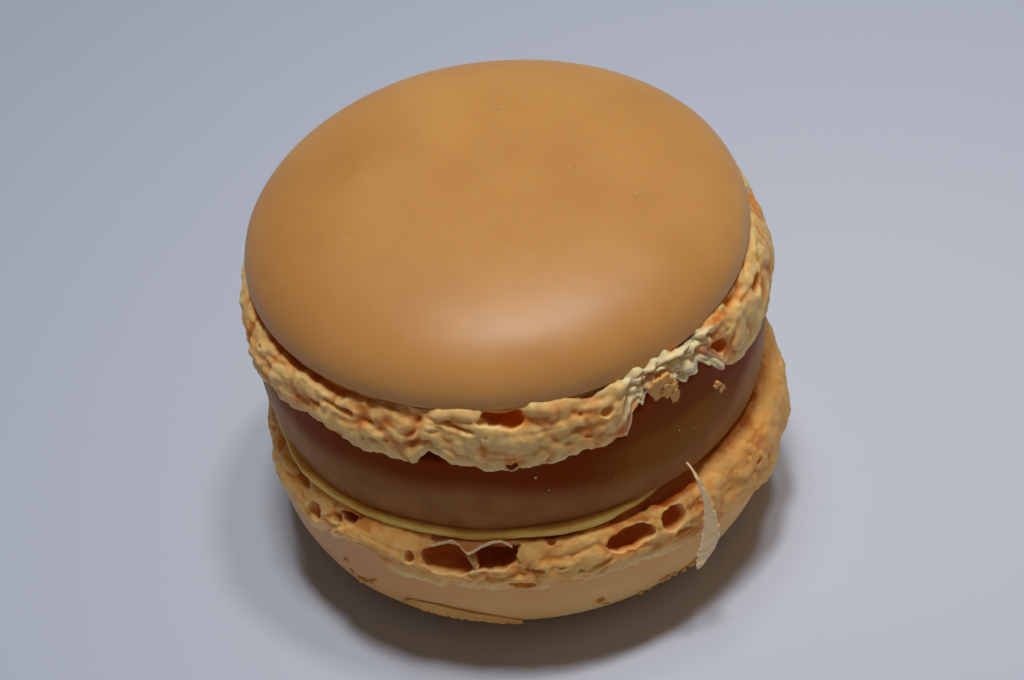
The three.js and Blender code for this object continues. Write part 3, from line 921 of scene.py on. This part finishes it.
def make_lower_skin():
    rows = lower_skin_rows()
    piece = wrap("lower_skin", rows, SKIN_STEPS)
    m = measure(piece, rows, 0)
    turn = m.keys[:, 2]
    curve = (turn <= 1) & (m.radius > 13)
    wall = turn == 2
    dome = np.where(curve, np.clip(turn, 0, 1) ** 2, wall)
    radius = m.radius + wall * aside(LOWER_DOME_SHIFT, m.theta)
    _, depth = shoulder(m.theta, 1.0)
    swing = aside(SWING, m.theta)
    bottom = BELLY + depth + 0.6 * swing
    climb = (m.z - BELLY - SHOULDER) / (WALL_TOP - BELLY - SHOULDER)
    top = 8.6 + swing + table_at(LOWER_HEM, m.theta)
    z = np.where(wall, bottom + climb * (top - bottom), m.z)
    points = from_polar(m.theta, radius, z)
    points[curve] = on_lower_skin(m.theta[curve], np.clip(turn[curve], 0, 1))
    soft = waves(points, (0.07, 5.0, 1.3), (0.03, 1.6, 6.1)) * dome
    outward = from_polar(m.theta, np.ones(len(m.theta)), 0 * m.theta)
    put(piece, points + outward * soft[:, None])
    dress(piece, LOWER_SKIN_PAINTED_BRIGHTER, "bottom_shell")


make_lower_skin()

# %% [markdown]
# ## The lower foot
# This ruffle has burst open at the front: large bubbles with thin crests between them, a plate
# of crust with a ragged lower edge, and a groove under the lip. It is made in the same way as
# the upper foot, so that one set of helpers serves both.

# %% Lower foot rows
LOWER_FOOT_ROWS = [
    # radius, height above the rim, rough, hem
    (15.5, 0.1, 0, 0), (18.6, 0.1, 0, 0.8), (19.6, 0.02, 0.5, 1), (20.1, 0.0, 0.8, 1),
    (20.36, 0.5, 1, 1), (20.58, 1.4, 1, 1), (20.62, 2.3, 1, 1), (20.5, 3.3, 1, 1),
    (20.22, 4.15, 1, 1), (19.88, 4.75, 1, 1), (19.55, 5.05, 1, 1), (19.25, 5.12, 0.9, 1),
    (19.0, 5.1, 0.8, 0.5), (18.5, 5.05, 0.6, 0), (17.8, 4.95, 0.2, 0), (15.5, 4.9, 0, 0),
]
LOWER_FOOT_TOP = 5.15
lower_foot_rows = foot_rows(LOWER_FOOT_ROWS, 17.8)
LOWER_START = row_at(lower_foot_rows, LOWER_FOOT_ROWS[3])
print("lower foot rows:", len(lower_foot_rows))

# %% [markdown]
# ### Where the lower foot has bubbles
# The large bubbles come first, because their rims are painted paler as well. They are
# listed and not drawn at random for the same reason as above. "Groove" is how deep the foot
# sinks under the lip, and "reach" is how far it flares out.

# %% Lower foot tables
LOWER_MOUTH = 110
LOWER_LARGE = [
    (-110.1, 3.8, 2.0, 1.65, 1.9), (-100.9, 4.7, 1.95, 1.6, 2.5), (-118.5, 3.6, 0.38, 0.75, 0.8),
    (-144.4, 2.9, 0.8, 1.2, 1.0), (-134.6, 4.6, 0.9, 0.6, 1.4), (-137.3, 3.8, 0.45, 0.7, 0.9),
    (-71.3, 3.85, 1.95, 1.2, 1.7), (-61.0, 4.15, 1.05, 1.15, 1.4),
]
LOWER_SMALL = [
    (-59.3, 2.4, 0.8, 0.4, 0.5),
    (-95.3, 0.95, 1.0, 0.55, 0.7), (-91.6, 2.95, 0.5, 0.3, 0.5), (-93.2, 3.2, 0.4, 0.22, 0.35),
    (-86.7, 2.95, 0.3, 0.22, 0.3), (-82.8, 2.2, 0.25, 0.2, 0.25), (-78.2, 2.4, 0.75, 0.4, 0.35),
    (-88.2, 5.6, 0.32, 0.38, 0.7), (-150.5, 4.9, 0.9, 0.5, 0.5), (-163, 5.0, 0.9, 0.5, 0.6),
    (24, 3.4, 1.2, 0.9, 1.1), (67, 3.9, 1.0, 1.2, 1.0), (108, 3.0, 1.4, 1.0, 1.2),
    (149, 4.1, 1.0, 1.1, 1.1), (178, 2.6, 1.2, 0.9, 0.9), (-23, 6.6, 0.7, 0.5, 0.6),
]
LOWER_DENTS = [
    (-129, 0.6, 1.4, 0.9, 0.7), (-132.5, 0.9, 1.2, 0.8, 0.4), (-139, 5.2, 0.4, 0.8, 0.3),
    (-150, 4.8, 1.2, 0.7, 0.4), (-155, 5.3, 1.5, 0.5, 0.4), (-170, 5.2, 2.0, 0.6, 0.4),
    (-57, 3.0, 0.5, 0.4, 0.2), (-84, 4.2, 2.0, 0.8, 0.12), (-46, 3.2, 1.5, 1.0, 0.15),
]
GROOVE = [(-175, 0.1), (-160, 0.15), (-150, 0.2), (-140, 0.3), (-130, 0.15), (-127, 0.1),
          (-125, 0.5), (-114, 0.55), (-111.5, 0.1), (-99, 0.1), (-96, 0.35), (-88, 0.4), (-80, 0.3),
          (-70, 0.3), (-66, 0.8), (-61, 1.25), (-53, 1.25), (-50, 0.3), (-46, -0.5), (-40, -0.6),
          (-25, -0.65), (10, -0.6), (40, -0.3), (90, 0.2), (150, 0.2)]
# painted light on the floors of large bubbles, where light falls in: azimuth, way, half sizes, share
PAINTED_LIGHT_IN_BUBBLES = [(-112.5, 2.6, 1.5, 0.9, 0.5), (-101, 3.4, 1.0, 0.5, 0.2),
              (-68.3, 3.1, 0.9, 0.6, 0.5), (-146, 2.6, 0.6, 0.7, 0.4)]
LOWER_REACH = [(-180, -0.4), (-170, -0.4), (-164, -0.1), (-158, 0.3), (-151, 0.1), (-140, 0.05),
               (-45, 0), (-37, 0.2), (-30, 0.4), (-26, 0.3), (-20, 0), (-14, 0.25), (-8, 0.1),
               (0, -0.25), (12, -0.3), (30, -0.1), (90, 0), (160, -0.2)]

# %% [markdown]
# ### The lower foot's mesh
# The same steps as above, with two additions: a flat plate of crust that stands out at the front
# left, and a calm stretch at the right where the folds are shallow. Both are masks that weaken
# or raise the relief, which keeps the ring in one piece.

# %% Lower foot
def plate(m):
    """The flat plate of crust at the front left: 1 on it, 0 beside it."""
    degrees = np.degrees(m.theta) + 0.8 * wave(m.places, 0.8, seed=5.5)
    left = -139 + 1.75 * (m.way - 1.0)
    return between(degrees, left, left + 0.7, -122, -113) * smoothstep(6.1, 5.6, m.way)


def make_lower_foot():
    rows = lower_foot_rows
    piece = wrap("lower_foot", rows, FOOT_STEPS)
    m = measure(piece, rows, LOWER_START)
    rough, follow = m.keys[:, 2], m.keys[:, 3]
    teeth = 0.14 * np.tanh(4 * wave(m.ring, 0.8, seed=3.1))
    teeth += 0.05 * np.tanh(4 * wave(m.ring, 0.35, seed=5.6))
    rise = hem(LOWER_HEM, m) + teeth
    z = m.z + follow * rise * np.maximum(0, 1 - m.z / LOWER_FOOT_TOP)
    fold = folds(m, 2.3, 3.5)
    grain = waves(m.places, (1, 0.28, 1.4), (0.6, 0.14, 8.3))
    sunk, slide = bubbles(m, LOWER_LARGE + LOWER_SMALL + LOWER_TINY, mouth=LOWER_MOUTH, seed=2.4)
    dent = dents(m, LOWER_DENTS)
    uneven = 0.3 * wave(m.places, 0.9, seed=7.7)
    shelf = smoothstep(5.75, 6.5, m.way + uneven) * table_at(GROOVE, m.theta)
    flat = plate(m)
    degrees = np.degrees(m.theta)
    calm = between(degrees, -56, -44, 5, 30)
    relief = 0.24 * fold * (1 - 0.6 * flat) * (1 - 0.3 * calm)
    relief += 0.045 * grain + 0.4 * flat
    move = rough * (relief - sunk - dent - shelf)
    wall = smoothstep(0, 0.6, m.way)
    reach = table_at(LOWER_REACH, m.theta) * wall
    radius = m.radius + rough * (reach + aside(LOWER_FOOT_SHIFT, m.theta))
    lift = smoothstep(4.6, 0.4, m.z) * follow * aside(SWING, m.theta)
    points = pushed(m, radius, z + lift, move, rough[:, None] * slide)
    z = points[:, 2]
    put(piece, points + [0, 0, LOWER_RIM])
    # painted shade: darker on the foot's top under the lip, in bubbles, dents, creases and the deep
    # groove; painted light takes it back on the lit floors of large bubbles
    behind = smoothstep(5.7, 6.3, m.way) * (0.2 + 0.8 * smoothstep(0.1, 0.4, np.abs(shelf)))
    creases = smoothstep(-0.3, -1.0, fold)
    hollow = smoothstep(0.2, 1.1, sunk) - dents(m, PAINTED_LIGHT_IN_BUBBLES) * (sunk > 0.1)
    gap = smoothstep(0.5, 1.1, table_at(GROOVE, m.theta)) * smoothstep(5.2, 5.7, m.way)
    hollow += 0.7 * smoothstep(0.15, 0.5, dent) + behind + 0.4 * creases + gap
    paint(piece, "hollow", rough * hollow)
    # painted highlight: paler on the tops of the folds, weaker on the calm stretch
    paint(piece, "crest", (0.5 + 0.5 * fold) * (1 - 0.6 * calm))
    large, _ = bubbles(m, LOWER_LARGE, mouth=LOWER_MOUTH, seed=2.4)
    rim = 0.7 * smoothstep(0, 0.03, large) * smoothstep(0.6, 0.12, large) * (1 - calm)
    low = smoothstep(1.3, 0.1, z - lift - rise) * (1 - calm) * wall
    paint(piece, "raw", rim + 0.7 * low * (sunk < 0.1))
    dress(piece, LOWER_CRUMB, "bottom_shell")


LOWER_TINY = (scattered(26, (-175, -40), (0.6, 5.4), (0.08, 0.24), 0.8, 15)
              + scattered(60, (-40, 180), (0.4, 5.0), (0.1, 0.4), 0.8, 16))
make_lower_foot()

# %% [markdown]
# ## The lip
# The flat skin on which the lower shell was baked shows as a thin yellow edge under the filling.
# It could be a bevel on the filling, but it has its own outline and colour, so it is a flat
# ring with a rounded edge, drawn in where the foot hides it.

# %% Lip
LIP_KEYS = [(15.0, 12.85), (18.8, 12.88), (19.6, 12.92), (19.92, 13.0), (20.02, 13.2),
            (19.95, 13.45), (19.7, 13.56), (15.0, 13.6)]
LIP_INSET = [(-178, -0.9), (-160, -0.6), (-150, -0.05), (-78, 0), (-68, -0.4), (-58, -1.3),
             (40, -1.3), (80, -0.3)]


def make_lip():
    rows = smooth_rows(LIP_KEYS, 0.12)
    rows = np.vstack([rows, rows[:1]])
    piece = wrap("lip", rows, ROUND_STEPS)
    m = measure(piece, rows, 0)
    outer = smoothstep(17.5, 19.2, m.radius)
    ripple = waves(m.places, (0.14, 4.0, 4.1), (0.05, 1.0, 0.7))
    out = aside(LIP_SHIFT, m.theta) + ripple + table_at(LIP_INSET, m.theta)
    z = m.z + outer * 0.12 * wave(m.places, 3.0, seed=8.8)
    put(piece, from_polar(m.theta, m.radius + outer * out, z))
    dress(piece, LIP_SKIN, "bottom_shell")


make_lip()

# %% [markdown]
# ## Thin flakes
# Dried skin comes off in flakes as thin as paper. A plane with a Solidify modifier could make
# them; here the sheet is laid along a path by the same sums as the round pieces, with ragged
# sides, and thickened at once, so that each is a closed solid.

# %% Ribbons
def new_sheet(along, across):
    """A flat sheet of squares, with each corner's place along and across it, from -1 to 1."""
    bm = bmesh.new()
    corners = bmesh.ops.create_grid(bm, x_segments=along, y_segments=across, size=1)["verts"]
    flat = np.array([corner.co[:2] for corner in corners])
    return bm, flat[:, 0], flat[:, 1]


def set_corners(corners, places):
    """Moves the corners of a bmesh to places in mm."""
    for corner, place in zip(corners, places):
        corner.co = Vector(place) * MM


def thicken(name, bm, places, thick):
    """Lays a sheet on places in mm, gives it a thickness and makes it a piece."""
    set_corners(bm.verts, places)
    bmesh.ops.solidify(bm, geom=bm.faces, thickness=thick * MM)
    return add_piece(name, bm)


def along_path(path, u):
    """Each column of a path's numbers at u, from -1 at its start to 1 at its end."""
    path = np.array(path, float)
    spot = (u + 1) / 2 * (len(path) - 1)
    return spot, [np.interp(spot, range(len(path)), column) for column in path.T]


def ribbon(name, path, across, thick, ragged, seed, steps=(60, 6)):
    """A thin sheet along a path of (azimuth, radius, z, half width) points. across is the
    direction of its width as (sideways, outward, up)."""
    bm, u, v = new_sheet(*steps)
    spot, (azimuth, radius, z, half) = along_path(path, u)
    line = np.stack([3 * spot, 0 * spot + seed, v], 1)
    half = half * (1 + ragged * wave(line, 0.8, seed=seed))
    half += 0.1 * ragged * wave(line, 0.25, seed=seed)
    side, outward, up = np.array(across) / np.linalg.norm(across)
    azimuth = np.radians(azimuth) + v * half * side / radius
    waver = 0.06 * wave(line, 1.1, seed=seed + 3)
    places = from_polar(azimuth, radius + v * half * outward + waver, z + v * half * up)
    return thicken(name, bm, places, thick)

# %% [markdown]
# ### The sliver and the film
# A sliver of skin hangs off the lower foot at the right. Over the two big bubbles in
# front a thin film is still stretched, torn along a curled, pale edge. Cloth simulation could
# hang them, but it would be hard to steer, so both follow listed points of azimuth, radius
# and height, and for the sliver half its width.

# %% Sliver and film
SLIVER = [(-54.9, 19.5, 15.5, 0.06), (-54.9, 20.1, 15.2, 0.08), (-54.9, 20.7, 14.6, 0.12),
          (-54.4, 21.0, 13.5, 0.2), (-54.1, 21.3, 12.1, 0.38), (-54.1, 21.5, 10.7, 0.62),
          (-54.6, 21.65, 9.5, 0.84), (-55.3, 21.75, 8.6, 0.94), (-56.3, 21.8, 7.9, 0.82),
          (-57.6, 21.85, 7.3, 0.5), (-58.6, 21.9, 6.9, 0.14)]
FILM_EDGE = [(-114.2, 20.15, 12.3), (-111.8, 20.05, 12.65), (-109.5, 19.95, 13.0),
             (-107.7, 20.2, 12.9), (-106.7, 20.4, 12.55), (-105.8, 20.5, 12.35),
             (-104.6, 20.4, 12.55), (-103.1, 20.15, 12.85), (-100.9, 19.95, 13.15),
             (-98.8, 19.85, 13.2), (-97.6, 19.95, 13.05), (-96.5, 20.05, 12.75)]


def make_film():
    """The thin sheet from inside the lip, the same all along, out to its edge."""
    inner_radius, inner_z = 19.3, 12.95
    bm, u, v = new_sheet(120, 8)
    _, (azimuth, radius, z) = along_path(FILM_EDGE, u)
    share = (v + 1) / 2
    radius = inner_radius + (radius - inner_radius) * np.sqrt(share)
    z = inner_z + (z - inner_z) * share ** 1.5
    return thicken("film", bm, from_polar(np.radians(azimuth), radius, z), 0.08)


sliver = ribbon("sliver", SLIVER, (1, 0.1, 0), 0.14, 0.25, 2.0)
edge_path = [(*spot, 0.16) for spot in FILM_EDGE]
film_edge = ribbon("film_edge", edge_path, (0, 0.5, 1), 0.16, 0.5, 5.0, (120, 4))
film = make_film()
for piece, material in ((sliver, PALE_FLAKE), (film_edge, PALE_FLAKE), (film, MEMBRANE)):
    dress(piece, material, "bottom_shell")

# %% [markdown]
# ### The peeled strip
# Under the big bubbles a strip of the lower skin has lifted. It could be cut out of the skin,
# but that would leave a hole, so it is a sheet of its own that lies on the dome between two
# lines and puffs out towards its lower edge.

# %% Peeled strip
PEEL_TOP = [(-124, 0.79), (-119.5, 0.82), (-115, 0.82), (-106, 0.75), (-101, 0.69), (-96.7, 0.6)]
PEEL_LOW = [(-124, 0.78), (-121, 0.73), (-117, 0.69), (-112, 0.675), (-109, 0.63), (-106, 0.645),
            (-102, 0.585), (-98, 0.57), (-96.7, 0.585)]


def make_peel():
    """A strip between two lines on the lower skin, each a table of azimuth and turn."""
    bm, u, v = new_sheet(150, 10)
    u, v = (u + 1) / 2, (1 - v) / 2
    azimuth = PEEL_TOP[0][0] + 27.3 * u
    top = np.interp(azimuth, *zip(*PEEL_TOP))
    low = np.interp(azimuth, *zip(*PEEL_LOW))
    line = np.stack([20 * u, 0 * u, 0 * u], 1)
    low = low + 0.022 * np.tanh(4 * wave(line, 0.55, seed=1.9)) * np.sin(math.pi * u) ** 0.5
    skin = np.stack([20 * u, 3 * v, 0 * u], 1)
    puff = 0.12 + 0.05 * wave(skin, 1.0, seed=2.6) + 0.2 * v
    places = on_lower_skin(np.radians(azimuth), top + (low - top) * v, puff)
    places[:, 2] -= puff * 0.4
    set_corners(bm.verts, places)
    bm.normal_update()
    return thicken("peel", bm, places, 0.16)


dress(make_peel(), PEEL_SKIN, "bottom_shell")

# %% [markdown]
# ## Crumbs
# Crumbs hang at the broken hem, stick to the caramel and cling to the lower skin. A particle
# system could scatter them, but they would all be alike. Each one here is a small ball pushed
# out of shape by noise, and those of one place are a single mesh. The first ones are drawn at
# random along the break.

# %% Crumbs
def crumbs(name, spots, seed):
    """Small crumbs in one mesh. Each spot is a place in mm and the crumb's half sizes."""
    bm = bmesh.new()
    for place, sizes in spots:
        made = bmesh.ops.create_icosphere(bm, subdivisions=3, radius=1)["verts"]
        unit = np.array([corner.co[:] for corner in made])
        here = unit + np.array(place)
        swell = 1 + waves(here, (0.35, 0.8, seed), (0.18, 0.35, seed + 2))
        turn = Matrix.Rotation(place[0] * 7 + place[2] * 3, 3, "Z")
        turn = turn @ Matrix.Rotation(place[1] * 5, 3, "X")
        for corner, way, grown in zip(made, unit, swell):
            corner.co = (Vector(place) + turn @ Vector(way * np.array(sizes) * grown)) * MM
    return add_piece(name, bm)


def moved_spot(azimuth, radius, z, shift):
    """A place in mm on a ring whose centre is moved by shift."""
    angle = math.radians(azimuth)
    return (radius * math.cos(angle) + shift[0], radius * math.sin(angle) + shift[1], z)


spots = []
draw = random.Random(41)
for _ in range(22):
    azimuth = draw.uniform(-67.5, -40)
    height = float(table_at(UPPER_HEM, np.array([math.radians(azimuth)]))[0])
    size = draw.uniform(0.1, 0.22)
    radius = draw.uniform(19.4, 19.8)
    z = height + draw.uniform(0.05, 0.5) + UPPER_BASE
    sizes = (size, size * draw.uniform(0.6, 1), size * draw.uniform(0.6, 1))
    spots.append((moved_spot(azimuth, radius, z, UPPER_SHIFT), sizes))
hem_crumbs = crumbs("hem_crumbs", spots, 3.0)
dress(hem_crumbs, RAW_CRUMB, "top_shell")

# %% [markdown]
# ### Shards
# Chips of crust are flat and ragged: a cluster hangs off the break, and a small one is stuck
# to the caramel. A ball of noise would be too plump for them, so each is a square sheet drawn
# into a ragged round and thickened.

# %% Shards
def shards(name, spots, seed):
    """Flat ragged chips. Each spot is azimuth, radius, z, half width, half height and how ragged."""
    bm = bmesh.new()
    for number, (azimuth, radius, z, wide, tall, ragged) in enumerate(spots):
        made = bmesh.ops.create_grid(bm, x_segments=26, y_segments=26, size=1)["verts"]
        flat = np.array([corner.co[:2] for corner in made])
        reach = np.abs(flat).max(axis=1)
        angle = np.arctan2(flat[:, 1], flat[:, 0])
        circle = np.stack([np.cos(angle), np.sin(angle), 0 * angle + number], 1)
        edge = 1 + ragged * waves(circle, (1, 0.7, seed), (0.6, 0.3, seed + 1))
        x = reach * edge * np.cos(angle) * wide
        y = reach * edge * np.sin(angle) * tall
        puff = 0.1 * wave(np.stack([x, y, 0 * x + number], 1), 0.6, seed=seed + 2)
        places = from_polar(math.radians(azimuth) + x / radius, radius + puff, z + y)
        set_corners(made, places)
    bmesh.ops.solidify(bm, geom=bm.faces, thickness=0.3 * MM)
    return add_piece(name, bm)


HANGING = [(-60.2, 19.6, 24.4, 0.95, 1.05, 0.35), (-58.6, 19.7, 23.7, 0.75, 0.6, 0.6),
           (-57.2, 19.7, 23.0, 0.3, 0.45, 0.7)]
STUCK = [(-44.6, 19.75, 20.9, 0.28, 0.2, 0.8), (-43.4, 19.8, 20.5, 0.22, 0.2, 0.9)]
dress(shards("hanging_shard", HANGING, 3.0), PEEL_SKIN, "top_shell")
dress(shards("stuck_shard", STUCK, 6.0), PEEL_SKIN, "filling")

# %% [markdown]
# ### Specks and loose crumbs
# The last loose bits: specks on the caramel, grains of almond and burnt sugar on the dome, and
# crumbs round the lower skin. They could be painted in the material, but they catch the light and
# throw small shadows, so they are meshes, set on the surface they lie on by its own formula.

# %% Specks and loose crumbs
CARAMEL_SPECKS = [(-88, 5.3, 0.1), (-54.5, 4.8, 0.07), (-50.5, 4.0, 0.06), (-112.5, 2.2, 0.06),
                  (-85.5, 3.8, 0.06), (-104, 1.6, 0.05), (-71, 3.1, 0.05)]
specks = [(moved_spot(azimuth, 19.9, FILLING_BASE + z, FILLING_SHIFT), (size, size, size))
          for azimuth, z, size in CARAMEL_SPECKS]
caramel_crumbs = crumbs("caramel_crumbs", specks, 6.0)
dress(caramel_crumbs, RAW_CRUMB, "filling")


def on_dome(x, y):
    """The place on the upper skin, in mm, that stands over a point of the table."""
    side, rear = x - UPPER_SHIFT[0], y - UPPER_SHIFT[1]
    share = math.hypot(side, rear) / DOME_RADIUS
    height = RIM + DOME_HEIGHT * (1 - share ** DOME_POWER) ** (1 / DOME_POWER) + side * DOME_LEAN
    return (x, y, UPPER_BASE + height)


def grains(name, spots, size):
    """Flat grains on the dome, over points x, y of the table."""
    return crumbs(name, [(on_dome(x, y), (size, size, 0.5 * size)) for x, y in spots], 12.0)


ALMOND = [(-1.4, 11.5), (-11.6, -3.1), (9.7, -3.2), (-9.8, -14.2)]
BURNT = [(0.3, 8.3), (5.5, 0.4), (-8.1, -15.5)]
dress(grains("almond_grains", ALMOND, 0.07), UPPER_CRUMB, "top_shell")
dress(grains("dark_grains", BURNT, 0.06), CARAMEL, "top_shell")

# azimuth, turn on the lower skin, and size
SKIN_CRUMBS = [
    (-139.5, 0.95, 0.22), (-138.6, 0.85, 0.2), (-136.5, 0.8, 0.3), (-134.6, 0.82, 0.25),
    (-132.5, 0.86, 0.22), (-131.2, 0.9, 0.15), (-121.5, 0.8, 0.2), (-118, 0.7, 0.2),
    (-78.5, 0.78, 0.3), (-76.9, 0.68, 0.2), (-68.0, 0.66, 0.2), (-62.6, 0.72, 0.22),
    (-61.0, 0.72, 0.25), (-58.5, 0.7, 0.2), (-55.5, 0.66, 0.25), (-53.4, 0.68, 0.3),
    (-52, 0.72, 0.2), (-65, 0.6, 0.15), (-111, 0.6, 0.2), (-113.5, 0.66, 0.2),
]
loose = []
for azimuth, turn, size in SKIN_CRUMBS:
    place = on_lower_skin(np.array([math.radians(azimuth)]), np.array([turn]))[0]
    loose.append((tuple(place), (1.3 * size, size, 0.9 * size)))
dress(crumbs("limb_crumbs", loose, 9.0), PEEL_SKIN, "bottom_shell")
# broken crumb is pale all over
for piece in (hem_crumbs, caramel_crumbs):
    paint(piece, "raw", np.ones(len(piece.data.vertices)))

# %% [markdown]
# ## The table
# A pale, plain table to stand on, painted lightest round the object: a painted pool of light.
# It isn't part of the object. A round backdrop would do too; one large square is enough, since
# its edges are out of view.

# %% Table
def make_table():
    bm = bmesh.new()
    bmesh.ops.create_grid(bm, x_segments=1, y_segments=1, size=1.5)
    mesh = bpy.data.meshes.new("table")
    bm.to_mesh(mesh)
    bm.free()
    table = bpy.data.objects.new("table", mesh)
    bpy.context.scene.collection.objects.link(table)
    material, tree, shader, here = new_material("table_painted_light_pool", 0.6, 0.3)
    # painted pool of light: the colour darkens with distance from a point 25 mm right of the axis
    middle = (0.025, 0.004, 0)
    far = add(tree, "ShaderNodeVectorMath", {"operation": "DISTANCE"}, i0=here, i1=middle)
    fade = ramp(tree, far.outputs["Value"], 0.02, 0.1, 0.0, 1.0)
    colour = mix_colour(tree, fade, (201, 209, 225), (168, 178, 197))
    tree.links.new(colour, shader.inputs["Base Color"])
    mesh.materials.append(material)


make_table()

# %% [markdown]
# ## The light
# One soft lamp shines from almost straight overhead, and two weaker ones from a little to the
# right and a little behind, which gives the dome its highlights. A picture of a room wrapped
# round the scene could add the rest, but it would need a file. A warm glow that is strongest
# from the upper front right takes its place.

# %% Light
def make_lamp(name, direction, distance, size, power, colour):
    """A round soft lamp that shines at the object from a direction, at a distance in metres."""
    data = bpy.data.lights.new(name, "AREA")
    data.shape = "DISK"
    data.size = size
    data.energy = power
    data.color = colour
    lamp = bpy.data.objects.new(name, data)
    towards = Vector(direction).normalized()
    lamp.location = towards * distance
    lamp.rotation_euler = towards.to_track_quat("Z", "Y").to_euler()
    bpy.context.scene.collection.objects.link(lamp)
    print(name, "at", [round(v, 3) for v in lamp.location])


make_lamp("overhead", (0.0, 0.012, 1.0), 1.5, 0.24, 9.2, (1.0, 0.99, 0.98))
make_lamp("right_lamp", (0.21, 0.08, 1.0), 1.0, 0.12, 1.9, (1.0, 1.0, 1.0))
make_lamp("back_lamp", (-0.09, 0.16, 1.0), 1.0, 0.12, 0.9, (1.0, 1.0, 1.0))


def make_room():
    """A glow that is strongest from the upper front right and fades towards the floor."""
    world = bpy.data.worlds.new("room")
    world.use_nodes = True
    tree = world.node_tree
    way = add(tree, "ShaderNodeTexCoord").outputs["Generated"]
    towards = (0.35, -0.5, 0.8)
    high = add(tree, "ShaderNodeVectorMath", {"operation": "DOT_PRODUCT"}, i0=way, i1=towards)
    glow = ramp(tree, high.outputs["Value"], -0.5, 1.0, 0.04, 0.13)
    sky = tree.nodes["Background"]
    sky.inputs["Color"].default_value = (1.0, 0.84, 0.66, 1)
    tree.links.new(glow, sky.inputs["Strength"])
    bpy.context.scene.world = world


make_room()
bpy.context.scene.view_settings.view_transform = "Standard"
